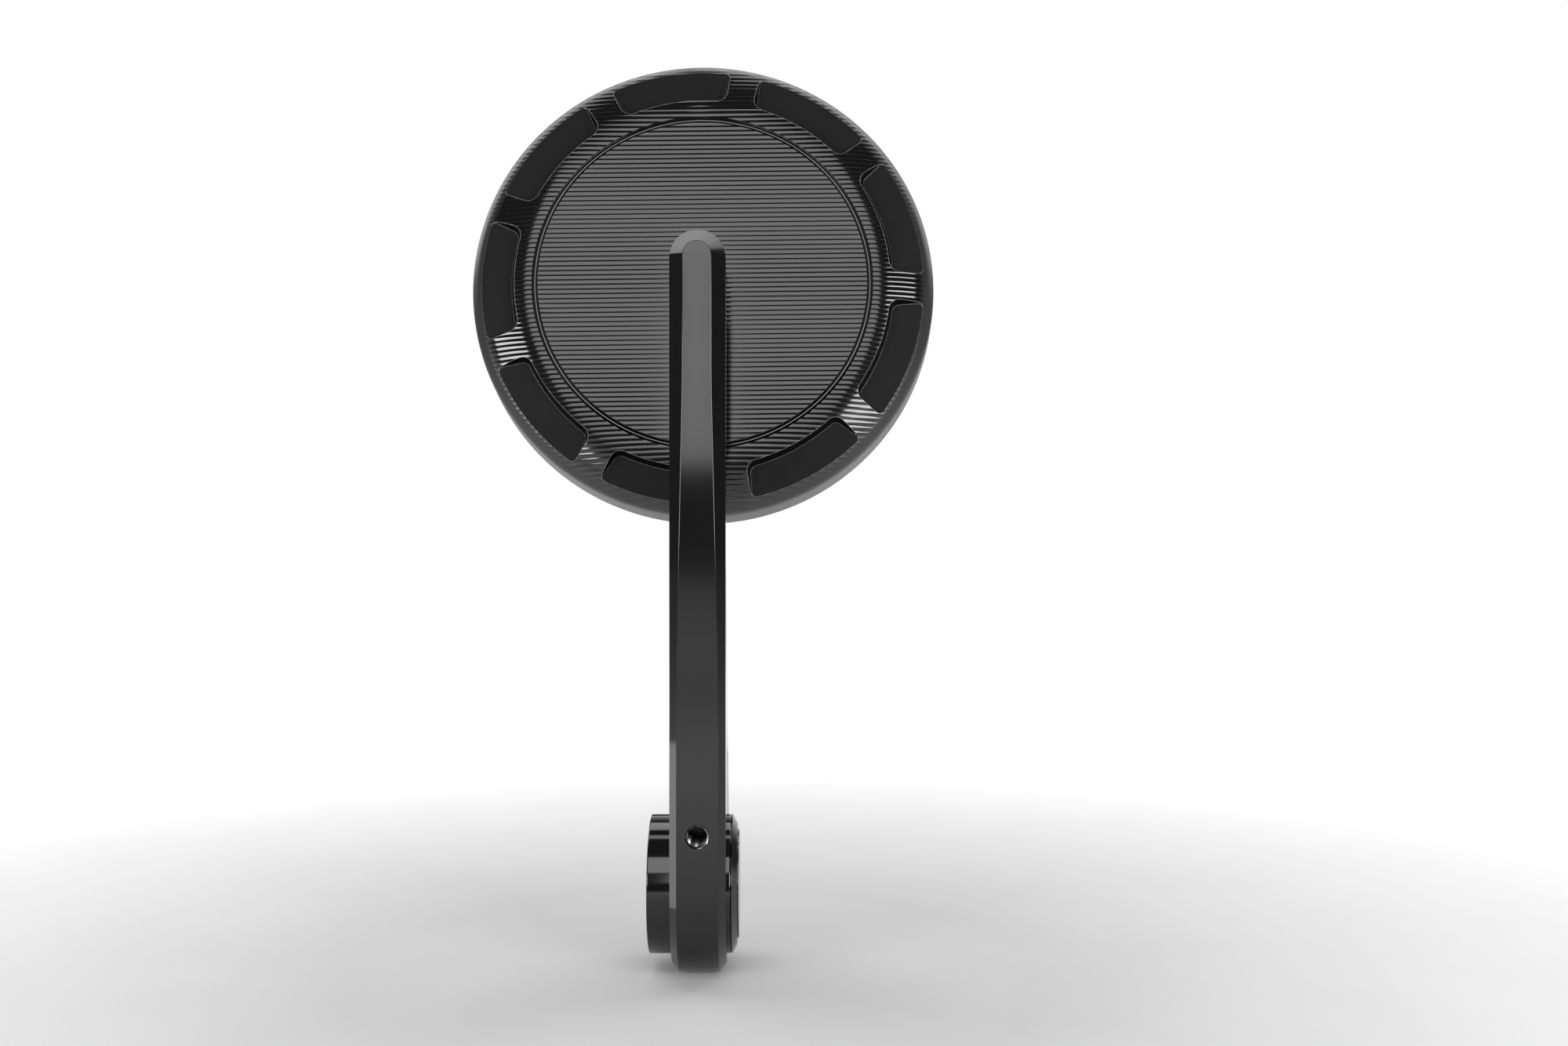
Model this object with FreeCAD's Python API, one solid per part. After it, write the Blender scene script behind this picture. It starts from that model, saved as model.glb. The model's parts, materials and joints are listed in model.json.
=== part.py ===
import FreeCAD, Part
import math
import os

# Bar-end motorcycle mirror: a machined arm with a clamp eye at its foot, and a round mirror head
# on a ball joint at its tip.
# Frame: millimetres. The origin is on the axis of the clamp bore, in the middle plane of the arm.
# X runs along the bore, whose open end faces -X. Z runs up the arm. The glass faces +Y.

# Clamp eye
bore_diameter = 22.0
eye_wall = 8.0
boss_wall = 4.2
bar_side_boss = 5.1
cap_side_boss = 1.0
boss_edge = 0.3
bore_edge = 0.6

# Arm
arm_length = 135.6
arm_width = 12.0
arm_thickness = 11.6
tip_above_ball = 1.4
taper_top_below_ball = 20.6
taper_foot = 45.0
taper_drop = 1.6
taper_blend = 5.0
flare_start = 67.0
edge_width = 1.6
edge_depth = 1.9

# Pinch clamp: a keyhole slot from the bore and one screw across it
slot_width = 1.6
slot_length = 17.0
slot_relief_diameter = 4.0
pinch_screw_diameter = 5.0
pinch_screw_length = 16.0
pinch_head_diameter = 8.5
pinch_head_height = 5.0
pinch_key = 4.0
pinch_screw_land = 0.5
pinch_end_depth = 10.7
counterbore_clearance = 0.35
hole_mouth_edge = 0.3

# End cap
cap_thickness = 1.3
cap_chamfer_height = 1.1
cap_chamfer_width = 2.0
cap_disc_inset = 1.2
cap_disc_height = 0.35
cap_spigot_step = 1.4
cap_spigot_length = 2.4

# Ball stud and its lock nut
ball_diameter = 10.0
neck_diameter = 4.4
neck_length = 7.2
neck_taper = 1.6
stud_diameter = 6.0
stud_reach = 21.8
stud_depth = 8.0
nut_across_flats = 10.0
nut_thickness = 3.2
thread_edge = 0.5

# Ball socket inside the head, outward from the ball
seat_clearance = 0.15
liner_thickness = 0.7
lip_angle = 44.0
lip_thickness = 0.7
lip_flare = 0.35
lip_boss_height = 1.2
lip_boss_wall = 1.06
ring_front_angle = 46.0
ring_rear_angle = 78.0
cup_front_angle = 102.0
plate_rim_angle = 107.5
pole_hole_angle = 170.0
plate_wall = 1.2
plate_margin = 2.6
plate_back_step = 0.4
plate_dome_taper = 0.8
spring_band = 3.6
spring_thickness = 0.5
spring_rise = 0.5
retainer_thickness = 1.2
retainer_inset = 0.6
screw_land = 6.3
retainer_screw_count = 3
first_screw_angle = 90.0
retainer_screw_diameter = 3.0
retainer_screw_length = 6.0
retainer_head_diameter = 5.6
retainer_head_height = 1.65
retainer_key = 2.0
fit_clearance = 0.05

# Mirror head
head_diameter = 107.6
head_tilt = 7.0
back_wall = 3.0
shoulder_width = 14.3
shoulder_drop = 7.2
rim_round = 4.6
ring_groove_inset = 1.0
ring_groove_width = 1.3
ring_groove_floor = 0.5
ring_groove_depth = 0.65
seam_depth = 0.5
seam_height = 0.5
rim_flare = 0.55
rim_edge = 0.8
rim_wall = 4.3
rim_lip = 0.3
ledge_width = 7.0
ledge_draft = 2.0
cavity_corner = 2.0
glass_clearance = 0.3
glass_thickness = 2.0
glass_curve = 1400.0
glass_headroom = 0.75
tape_thickness = 0.75
tape_width = 5.4

# Pockets round the shoulder of the head
pocket_count = 9
pocket_first_angle = 19.0
pocket_inset = 4.6
pocket_depth = 3.05
pocket_draft = 18.0
pocket_corner = 2.0
pocket_reach = 7.1
pocket_overrun = 7.2
pocket_headroom = 1.2
land_width_inner = 8.1
land_width_outer = 6.9

# Places worked out from the sizes above
bore_radius = bore_diameter / 2
eye_radius = bore_radius + eye_wall
boss_radius = bore_radius + boss_wall
half_width = arm_width / 2
front_low = -eye_radius
front_high = front_low - taper_drop
arm_rear = front_high + arm_thickness
ball_height = arm_length
ball_depth = arm_rear + stud_reach
tip_height = ball_height + tip_above_ball
taper_top = ball_height - taper_top_below_ball
bar_face = -half_width - bar_side_boss
cap_seat = half_width + cap_side_boss
cap_spigot_radius = bore_radius + cap_spigot_step
cap_disc_radius = boss_radius - cap_chamfer_width - cap_disc_inset
spigot_seat = cap_seat - cap_spigot_length
pinch_height = bore_radius + pinch_screw_diameter / 2 + pinch_screw_land
pinch_end = front_low + pinch_end_depth
pinch_head_seat = pinch_end + pinch_screw_length
slot_end = bore_radius + slot_length

ball_radius = ball_diameter / 2
liner_inner = ball_radius + seat_clearance
liner_outer = liner_inner + liner_thickness
seat_radius = liner_outer + seat_clearance
lip_inner_face = -seat_radius * math.cos(math.radians(lip_angle))
lip_opening = seat_radius * math.sin(math.radians(lip_angle))
lip_outer_face = lip_inner_face - lip_thickness
back_plane = lip_outer_face + lip_boss_height
lip_boss_radius = math.sqrt(seat_radius**2 - back_plane**2) + lip_boss_wall
plate_front = -seat_radius * math.cos(math.radians(plate_rim_angle))
plate_radius = seat_radius + plate_margin
plate_back = seat_radius - plate_back_step
spring_outer = plate_radius - 2 * plate_back_step
spring_inner = spring_outer - spring_band
dome_radius = spring_inner - plate_back_step
retainer_seat = plate_back + spring_thickness + spring_rise
retainer_face = retainer_seat + retainer_thickness
socket_radius = plate_radius + fit_clearance
socket_boss_radius = socket_radius + screw_land
screw_circle = (socket_radius + socket_boss_radius) / 2

rim_radius = head_diameter / 2
shoulder_start = rim_radius - shoulder_width
shoulder_end = back_plane + shoulder_drop
ring_groove_radius = shoulder_start - ring_groove_inset
glass_back = retainer_face + retainer_head_height + glass_headroom
glass_front = glass_back + glass_thickness
rim_front = glass_front + rim_lip
rim_outer = rim_radius + rim_flare
glass_wall = rim_outer - rim_wall
glass_radius = glass_wall - glass_clearance
tape_outer = glass_radius - glass_clearance
tape_inner = tape_outer - tape_width
glass_back_curve = glass_curve - glass_thickness
glass_sag = glass_back_curve - math.sqrt(glass_back_curve**2 - glass_radius**2)
ledge = glass_back - glass_sag - tape_thickness
cavity_floor = back_plane + back_wall
cavity_radius = glass_wall - ledge_width

V = FreeCAD.Vector
ORIGIN = V(0, 0, 0)
ALONG_X = V(1, 0, 0)
ALONG_Y = V(0, 1, 0)
FULL_TURN = 360.0
HEXAGON_SIDES = 6
TOUCH = 1e-6


def side_plane(y, z):
    """Point in the middle plane of the arm."""
    return V(0, y, z)


def bore_plane(x, radius):
    """Point of a section that is turned about the bore axis."""
    return V(x, 0, radius)


def head_plane(radius, y):
    """Point of a section that is turned about the axis of the head."""
    return V(radius, y, 0)


def back_view(x, z):
    """Point in the plane of the mirror's back."""
    return V(x, 0, z)


def outline(plane, start, steps):
    """Closed face. A step is the next corner, or a (middle, end) pair of corners for an arc."""
    edges = []
    here = plane(*start)
    for step in steps:
        if isinstance(step[0], tuple):
            middle = plane(*step[0])
            there = plane(*step[1])
            edges.append(Part.Arc(here, middle, there).toShape())
        else:
            there = plane(*step)
            edges.append(Part.LineSegment(here, there).toShape())
        here = there
    if here.distanceToPoint(plane(*start)) > TOUCH:
        edges.append(Part.LineSegment(here, plane(*start)).toShape())
    return Part.Face(Part.Wire(edges))


def turned_about_bore(start, steps):
    """Solid of revolution about the bore axis, from corners (x, radius)."""
    return outline(bore_plane, start, steps).revolve(ORIGIN, ALONG_X, FULL_TURN)


def turned_about_head(start, steps):
    """Solid of revolution about the axis of the head, from corners (radius, y)."""
    return outline(head_plane, start, steps).revolve(ORIGIN, ALONG_Y, FULL_TURN)


def on_sphere(radius, angle):
    """Corner (radius, y) on a sphere about the ball, at an angle from the arm's side of the axis."""
    turn = math.radians(angle)
    return (radius * math.sin(turn), -radius * math.cos(turn))


def rod(radius, base, direction, length):
    """Round bar from a base point."""
    return Part.makeCylinder(radius, length, base, direction)


def hexagon(across_flats, base, length):
    """Hexagonal bar along +Y, with two corners on the X line through its axis."""
    corner = across_flats / math.sqrt(3)
    points = []
    for number in range(HEXAGON_SIDES):
        turn = math.radians(FULL_TURN * number / HEXAGON_SIDES)
        points.append(base + V(corner * math.cos(turn), 0, corner * math.sin(turn)))
    face = Part.Face(Part.makePolygon(points + [points[0]]))
    return face.extrude(V(0, length, 0))


def in_head_place(shape):
    """Carry a piece from the head's own frame, about the ball, to its tilted place on the arm."""
    piece = shape.copy()
    piece.rotate(ORIGIN, ALONG_X, -head_tilt)
    piece.translate(V(0, ball_depth, ball_height))
    return piece


def taper_steps():
    """The arm's front from its low straight up to its high one: a blend, a straight taper and a blend."""
    lean = math.atan2(taper_drop, taper_top - taper_foot - 2 * taper_blend)
    radius = taper_blend / math.tan(lean / 2)
    half_sink = radius * (1 - math.cos(lean / 2))
    half_climb = radius * math.sin(lean / 2)
    sink = radius * (1 - math.cos(lean))
    climb = radius * math.sin(lean)
    low_blend = ((front_low - half_sink, taper_foot + half_climb), (front_low - sink, taper_foot + climb))
    taper_end = (front_high + sink, taper_top - climb)
    high_blend = ((front_high + half_sink, taper_top - half_climb), (front_high, taper_top))
    return [low_blend, taper_end, high_blend]


def flare_foot():
    """Corner where the straight rear flare touches the circle of the eye."""
    reach = math.hypot(arm_rear, flare_start)
    turn = math.atan2(flare_start, arm_rear) - math.acos(eye_radius / reach)
    return (eye_radius * math.cos(turn), eye_radius * math.sin(turn))


def arm_blade():
    """The arm above the eye: a side profile cut to the chamfered plan of the arm."""
    top = tip_height + arm_width
    steps = taper_steps() + [(front_high, top), (arm_rear, top), (arm_rear, flare_start), flare_foot(), (0, 0)]
    profile = outline(side_plane, (front_low, 0), [(front_low, taper_foot)] + steps)
    profile.translate(V(-half_width, 0, 0))
    blade = profile.extrude(V(arm_width, 0, 0))
    rear_edges = []
    for edge in blade.Edges:
        middle = edge.valueAt((edge.FirstParameter + edge.LastParameter) / 2)
        on_side = abs(abs(middle.x) - half_width) < TOUCH
        on_rear = abs(edge.tangentAt(edge.FirstParameter).x) < TOUCH and middle.y > arm_rear - TOUCH
        if on_side and on_rear and middle.z > eye_radius and middle.z < top - TOUCH:
            rear_edges.append(edge)
    blade = blade.makeChamfer(edge_width, edge_depth, rear_edges)
    return blade.common(arm_plan())


def arm_plan():
    """Front chamfers and rounded tip of the arm, seen from the front."""
    slope = edge_width / edge_depth
    edge_start = front_low + edge_depth
    front_half = half_width - (edge_start - front_high) * slope
    rear = eye_radius + arm_width
    corners = [(half_width, rear), (half_width, edge_start), (front_half, front_high)]
    section = []
    for x, y in corners:
        section.append(V(x, y, 0))
    for x, y in reversed(corners):
        section.append(V(-x, y, 0))
    straight = Part.Face(Part.makePolygon(section + [section[0]])).extrude(V(0, 0, tip_height))
    tip = turned_about_head((0, rear), corners + [(0, front_high)])
    tip.translate(V(0, 0, tip_height))
    return straight.fuse(tip)


def eye_disc():
    """Chamfered disc of the clamp eye with its two round bosses."""
    inner = half_width - edge_width
    corners = [
        (bar_face, boss_radius - boss_edge),
        (bar_face + boss_edge, boss_radius),
        (-half_width, boss_radius),
        (-half_width, eye_radius - edge_depth),
        (-inner, eye_radius),
        (inner, eye_radius),
        (half_width, eye_radius - edge_depth),
        (half_width, boss_radius),
        (cap_seat, boss_radius),
        (cap_seat, 0),
    ]
    return turned_about_bore((bar_face, 0), corners)


def clamp_bore():
    """Bore for the bar end, with an eased mouth and a wider seat for the cap's spigot."""
    seat = cap_spigot_radius + fit_clearance
    corners = [
        (bar_face - bore_edge, bore_radius + 2 * bore_edge),
        (bar_face + bore_edge, bore_radius),
        (spigot_seat - fit_clearance, bore_radius),
        (spigot_seat - fit_clearance, seat),
        (cap_seat + bore_edge, seat),
        (cap_seat + bore_edge, 0),
    ]
    return turned_about_bore((bar_face - bore_edge, 0), corners)


def pinch_slot():
    """Keyhole slot up from the bore, right across the eye, with a round relief at its end."""
    start = V(bar_face - bore_edge, -slot_width / 2, 0)
    across = cap_seat - bar_face + 2 * bore_edge
    slot = Part.makeBox(across, slot_width, slot_end, start)
    relief = rod(slot_relief_diameter / 2, V(start.x, 0, slot_end), ALONG_X, across)
    return slot.fuse(relief)


def pinch_hole():
    """Threaded hole through to the front, and the rear counterbore for the screw's head."""
    hole_radius = pinch_screw_diameter / 2 + fit_clearance
    depth = pinch_head_seat - front_low
    hole = rod(hole_radius, V(0, front_low, pinch_height), ALONG_Y, depth)
    mouth_radius = hole_radius + hole_mouth_edge
    mouth = Part.makeCone(mouth_radius, hole_radius, hole_mouth_edge, V(0, front_low, pinch_height), ALONG_Y)
    head_radius = pinch_head_diameter / 2 + counterbore_clearance
    counterbore = rod(head_radius, V(0, pinch_head_seat, pinch_height), ALONG_Y, eye_radius)
    return hole.fuse([mouth, counterbore])


def stud_hole():
    """Blind threaded hole in the rear of the arm's tip."""
    base = V(0, arm_rear, ball_height)
    return rod(stud_diameter / 2 + fit_clearance, base, V(0, -1, 0), stud_depth + thread_edge)


def make_arm():
    body = arm_blade().fuse(eye_disc()).removeSplitter()
    return body.cut([clamp_bore(), pinch_slot(), pinch_hole(), stud_hole()])


def make_end_cap():
    face = cap_seat + cap_thickness
    corners = [
        (spigot_seat, cap_spigot_radius),
        (cap_seat, cap_spigot_radius),
        (cap_seat, boss_radius),
        (face - cap_chamfer_height, boss_radius),
        (face, boss_radius - cap_chamfer_width),
        (face, cap_disc_radius),
        (face + cap_disc_height, cap_disc_radius - cap_disc_height),
        (face + cap_disc_height, 0),
    ]
    return turned_about_bore((spigot_seat, 0), corners)


def socket_screw(radius, length, head_radius, head_height, key, top_edge):
    """Socket-head screw along +Y: shank below y = 0, head above it, hexagon socket in the head."""
    corners = [
        (radius - thread_edge, -length),
        (radius, thread_edge - length),
        (radius, 0),
        (head_radius, 0),
        (head_radius, head_height - top_edge),
        (head_radius - top_edge, head_height),
        (0, head_height),
    ]
    screw = turned_about_head((0, -length), corners)
    socket_depth = head_height / 2
    return screw.cut(hexagon(key, V(0, head_height - socket_depth, 0), socket_depth))


def make_pinch_screw():
    screw = socket_screw(
        pinch_screw_diameter / 2,
        pinch_screw_length,
        pinch_head_diameter / 2,
        pinch_head_height,
        pinch_key,
        thread_edge,
    )
    screw.translate(V(0, pinch_head_seat, pinch_height))
    return screw


def make_ball_stud():
    neck = neck_diameter / 2
    shank = stud_diameter / 2
    neck_start = -math.sqrt(ball_radius**2 - neck**2)
    shank_start = -neck_length - neck_taper
    end = -stud_reach - stud_depth
    corners = [
        (shank - thread_edge, end),
        (shank, end + thread_edge),
        (shank, shank_start),
        (neck, -neck_length),
        (neck, neck_start),
        ((ball_radius, 0), on_sphere(ball_radius, pole_hole_angle)),
        (0, on_sphere(ball_radius, pole_hole_angle)[1]),
    ]
    stud = turned_about_head((0, end), corners)
    stud.translate(V(0, ball_depth, ball_height))
    return stud


def make_stud_lock_nut():
    base = V(0, arm_rear, ball_height)
    corner = nut_across_flats / math.sqrt(3)
    flat = nut_across_flats / 2
    edge = (corner - flat) / 2
    corners = [
        (flat, 0),
        (corner, edge),
        (corner, nut_thickness - edge),
        (flat, nut_thickness),
        (0, nut_thickness),
    ]
    round_off = turned_about_head((0, 0), corners)
    nut = hexagon(nut_across_flats, ORIGIN, nut_thickness).common(round_off)
    nut.translate(base)
    bore = rod(stud_diameter / 2 + fit_clearance, base, ALONG_Y, nut_thickness)
    return nut.cut(bore)


def liner(front_angle, rear_angle):
    """Part of the thin round lining between the ball and its socket."""
    middle_angle = (front_angle + rear_angle) / 2
    steps = [
        on_sphere(liner_outer, front_angle),
        (on_sphere(liner_outer, middle_angle), on_sphere(liner_outer, rear_angle)),
        on_sphere(liner_inner, rear_angle),
        (on_sphere(liner_inner, middle_angle), on_sphere(liner_inner, front_angle)),
    ]
    return turned_about_head(on_sphere(liner_inner, front_angle), steps)


def make_ball_seat_ring():
    return in_head_place(liner(ring_front_angle, ring_rear_angle))


def make_ball_seat_cup():
    return in_head_place(liner(cup_front_angle, pole_hole_angle))


def make_thrust_plate():
    middle_angle = (plate_rim_angle + pole_hole_angle) / 2
    hole_edge = on_sphere(seat_radius, pole_hole_angle)
    steps = [
        (plate_radius, plate_front),
        (plate_radius, plate_back),
        (dome_radius, plate_back),
        (dome_radius - plate_dome_taper, seat_radius + plate_wall),
        (hole_edge[0], seat_radius + plate_wall),
        hole_edge,
        (on_sphere(seat_radius, middle_angle), on_sphere(seat_radius, plate_rim_angle)),
    ]
    return in_head_place(turned_about_head(on_sphere(seat_radius, plate_rim_angle), steps))


def make_disc_spring():
    steps = [
        (spring_outer, plate_back + spring_thickness),
        (spring_inner, retainer_seat),
        (spring_inner, retainer_seat - spring_thickness),
    ]
    return in_head_place(turned_about_head((spring_outer, plate_back), steps))


def screw_places():
    """Points of the retainer's screws on their circle."""
    places = []
    for number in range(retainer_screw_count):
        turn = math.radians(first_screw_angle + FULL_TURN * number / retainer_screw_count)
        places.append(V(screw_circle * math.cos(turn), retainer_face, screw_circle * math.sin(turn)))
    return places


def make_retainer_plate():
    outer = socket_boss_radius - retainer_inset
    steps = [
        (outer, retainer_seat),
        (outer, retainer_face),
        (dome_radius, retainer_face),
    ]
    plate = turned_about_head((dome_radius, retainer_seat), steps)
    hole_radius = retainer_screw_diameter / 2 + 2 * fit_clearance
    holes = []
    for place in screw_places():
        holes.append(rod(hole_radius, place, V(0, -1, 0), retainer_thickness))
    return in_head_place(plate.cut(holes))


def make_retainer_screws():
    screws = []
    for place in screw_places():
        screw = socket_screw(
            retainer_screw_diameter / 2,
            retainer_screw_length,
            retainer_head_diameter / 2,
            retainer_head_height,
            retainer_key,
            retainer_head_height / 2,
        )
        screw.translate(place)
        screws.append(in_head_place(screw))
    return Part.makeCompound(screws)


def glass_fall(radius):
    """How far the curved back of the glass falls below its middle at a radius."""
    return glass_back_curve - math.sqrt(glass_back_curve**2 - radius**2)


def make_mirror_glass():
    blank = rod(glass_radius, V(0, ledge, 0), ALONG_Y, rim_front - ledge)
    centre = V(0, glass_front - glass_curve, 0)
    front = Part.makeSphere(glass_curve, centre)
    back = Part.makeSphere(glass_back_curve, centre)
    return in_head_place(blank.common(front).cut(back))


def make_glass_tape():
    top = glass_back - fit_clearance
    steps = [
        (tape_outer, ledge),
        (tape_outer, top - glass_fall(tape_outer)),
        (tape_inner, top - glass_fall(tape_inner)),
    ]
    return in_head_place(turned_about_head((tape_inner, ledge), steps))


def shoulder_arcs():
    """Two tangent arcs that carry the flat back over to the upright rim."""
    square = shoulder_width**2 + shoulder_drop**2
    wide = (square - 2 * shoulder_width * rim_round) / (2 * (shoulder_drop - rim_round))
    turn = math.atan2(shoulder_width - rim_round, wide - shoulder_drop)

    def on_wide(angle):
        return (shoulder_start + wide * math.sin(angle), back_plane + wide * (1 - math.cos(angle)))

    def on_rim(angle):
        radius = rim_radius - rim_round + rim_round * math.sin(angle)
        return (radius, shoulder_end - rim_round * math.cos(angle))

    quarter = math.pi / 2
    wide_arc = (on_wide(turn / 2), on_wide(turn))
    rim_arc = (on_rim((turn + quarter) / 2), on_rim(quarter))
    return [wide_arc, rim_arc]


def housing_body():
    """Turned head: flat back with its ring groove, shoulder, seam, flared rim, glass seat and socket."""
    groove_bottom = back_plane + ring_groove_depth
    wall_foot = cavity_radius - ledge_draft
    lip = (lip_opening, lip_inner_face)
    back = [
        (lip_opening + lip_flare, lip_outer_face),
        (lip_boss_radius, lip_outer_face),
        (lip_boss_radius, back_plane),
        (ring_groove_radius - ring_groove_width / 2, back_plane),
        (ring_groove_radius - ring_groove_floor / 2, groove_bottom),
        (ring_groove_radius + ring_groove_floor / 2, groove_bottom),
        (ring_groove_radius + ring_groove_width / 2, back_plane),
        (shoulder_start, back_plane),
    ]
    rim = [
        (rim_radius - seam_depth, shoulder_end + seam_height / 2),
        (rim_radius, shoulder_end + seam_height),
        (rim_outer, rim_front - rim_edge),
        (rim_outer - rim_edge, rim_front),
        (glass_wall + rim_edge, rim_front),
        (glass_wall, rim_front - rim_edge),
    ]
    inside = [
        (glass_wall, ledge),
        (cavity_radius, ledge),
        (wall_foot, cavity_floor + cavity_corner),
        (wall_foot - cavity_corner, cavity_floor),
        (socket_boss_radius, cavity_floor),
        (socket_boss_radius, retainer_seat),
        (socket_radius, retainer_seat),
        (socket_radius, plate_front - fit_clearance),
        (seat_radius, plate_front - fit_clearance),
        (seat_radius, 0),
        (on_sphere(seat_radius, (lip_angle + 90) / 2), lip),
    ]
    return turned_about_head(lip, back + shoulder_arcs() + rim + inside)


def pocket_cutter():
    """One pocket: flat floor, rounded inner corners, and walls that lean outward."""
    inner = shoulder_start + pocket_inset
    outer = inner + pocket_reach
    half_pitch = math.pi / pocket_count

    def corner(radius, land):
        turn = half_pitch - math.asin(land / 2 / radius)
        return V(radius * math.cos(turn), 0, radius * math.sin(turn))

    near = corner(inner, land_width_inner)
    run_out = (pocket_reach + pocket_overrun) / pocket_reach
    far = near + (corner(outer, land_width_outer) - near) * run_out
    steps = [
        (far.x, far.z),
        (far.x, -far.z),
        (near.x, -near.z),
        ((inner, 0), (near.x, near.z)),
    ]
    sharp = outline(back_view, (near.x, near.z), steps)
    floor = sharp.makeOffset2D(-pocket_corner).makeOffset2D(pocket_corner).OuterWire
    height = pocket_depth + pocket_headroom
    mouth = floor.makeOffset2D(height * math.tan(math.radians(pocket_draft)))
    mouth.translate(V(0, -height, 0))
    cutter = Part.makeLoft([floor, mouth], True, True)
    cutter.translate(V(0, back_plane + pocket_depth, 0))
    return cutter


def make_mirror_housing():
    cutters = []
    for number in range(pocket_count):
        cutter = pocket_cutter()
        angle = pocket_first_angle + FULL_TURN * number / pocket_count
        cutter.rotate(ORIGIN, ALONG_Y, -angle)
        cutters.append(cutter)
    for place in screw_places():
        radius = retainer_screw_diameter / 2 + fit_clearance
        depth = retainer_screw_length + thread_edge
        cutters.append(rod(radius, place, V(0, -1, 0), depth))
    return in_head_place(housing_body().cut(cutters))


pieces = {
    "arm": make_arm,
    "end_cap": make_end_cap,
    "pinch_screw": make_pinch_screw,
    "ball_stud": make_ball_stud,
    "stud_lock_nut": make_stud_lock_nut,
    "ball_seat_ring": make_ball_seat_ring,
    "ball_seat_cup": make_ball_seat_cup,
    "thrust_plate": make_thrust_plate,
    "disc_spring": make_disc_spring,
    "retainer_plate": make_retainer_plate,
    "retainer_screws": make_retainer_screws,
    "mirror_housing": make_mirror_housing,
    "glass_tape": make_glass_tape,
    "mirror_glass": make_mirror_glass,
}

os.makedirs("parts", exist_ok=True)
for name, make in pieces.items():
    shape = make()
    shape.exportStep("parts/" + name + ".step")
    box = shape.BoundBox
    print(name, "valid", shape.isValid(), "solids", len(shape.Solids), "volume", round(shape.Volume, 1))
    print("   from", [round(v, 2) for v in (box.XMin, box.YMin, box.ZMin)])
    print("   to", [round(v, 2) for v in (box.XMax, box.YMax, box.ZMax)])
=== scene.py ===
# %% [markdown]
# # A round bar-end mirror, seen from its back
# The mirror is two black anodised machined pieces, an arm and a round head, joined by a ball. This lesson
# gives the CAD part its looks: fine ridges on the head, small edge breaks on the arm, threads, and finishes.
# %% Load the frame
import json
from math import acos, asin, atan2, ceil, cos, degrees, hypot, pi, radians, sin, sqrt, tan
import bmesh
import bpy
from mathutils import Matrix, Vector


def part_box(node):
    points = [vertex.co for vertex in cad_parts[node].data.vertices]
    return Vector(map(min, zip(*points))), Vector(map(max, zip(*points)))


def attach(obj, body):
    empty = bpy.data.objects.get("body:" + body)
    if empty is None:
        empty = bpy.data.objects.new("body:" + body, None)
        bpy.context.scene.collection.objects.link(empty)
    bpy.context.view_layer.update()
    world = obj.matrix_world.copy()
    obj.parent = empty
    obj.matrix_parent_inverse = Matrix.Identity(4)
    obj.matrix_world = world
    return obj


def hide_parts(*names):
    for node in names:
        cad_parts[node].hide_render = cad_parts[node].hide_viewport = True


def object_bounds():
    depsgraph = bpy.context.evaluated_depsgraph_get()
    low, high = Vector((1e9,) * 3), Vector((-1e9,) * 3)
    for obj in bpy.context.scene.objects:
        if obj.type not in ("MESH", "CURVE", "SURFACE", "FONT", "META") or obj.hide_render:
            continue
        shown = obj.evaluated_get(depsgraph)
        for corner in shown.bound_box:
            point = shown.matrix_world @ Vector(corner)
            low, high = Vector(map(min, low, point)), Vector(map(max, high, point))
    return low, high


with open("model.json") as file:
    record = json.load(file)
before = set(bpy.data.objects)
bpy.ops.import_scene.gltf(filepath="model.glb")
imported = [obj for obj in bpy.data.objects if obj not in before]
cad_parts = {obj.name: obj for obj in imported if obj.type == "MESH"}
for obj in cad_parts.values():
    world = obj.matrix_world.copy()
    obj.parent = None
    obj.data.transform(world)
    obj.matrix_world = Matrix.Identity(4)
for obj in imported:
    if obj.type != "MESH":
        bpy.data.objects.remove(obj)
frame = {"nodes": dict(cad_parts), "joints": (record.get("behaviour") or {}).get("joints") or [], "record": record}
cad_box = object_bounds()
joints = {joint["name"]: joint for joint in frame["joints"]}
print("CAD nodes:", len(frame["nodes"]), "joints:", sorted(joints))

# %% [markdown]
# ## Places that everything hangs on
# Meshes are written in millimetres, as a workshop drawing would be, and scaled once when they are made. The
# ball's centre and the head's axis are read from the frame's joints, so the head always sits where the CAD
# put it.
# %% Places
MM = 0.001
ball = Vector(joints["head_spin"]["pos_m"]) / MM
head_axis = Vector(joints["head_spin"]["axis"])
head_tilt = atan2(-head_axis.z, head_axis.y)
head_place = Matrix.Translation(ball) @ Matrix.Rotation(-head_tilt, 4, "X")
bore_radius = frame["record"]["mounts"][0]["dims"]["r_mm"]
arm_low, arm_high = (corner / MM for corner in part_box("arm"))
cap_low, cap_high = (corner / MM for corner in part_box("end_cap"))
nut_low, nut_high = (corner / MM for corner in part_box("stud_lock_nut"))
screw_low, screw_high = (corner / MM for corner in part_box("pinch_screw"))
print("ball centre", [round(v, 2) for v in ball], "head tilt", round(degrees(head_tilt), 2))

# %% [markdown]
# ## Shapes from outlines
# A machined part is made of few moves: a turned profile, a milled outline, a drilled hole. Each has a helper
# here. Corners are rounded a little, since no real edge is sharp and the thin light along an edge is what
# shows a machined part's form.
# %% Helpers for outlines
ROUND_STEPS = 4
FINE_STEPS = 10


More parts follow.
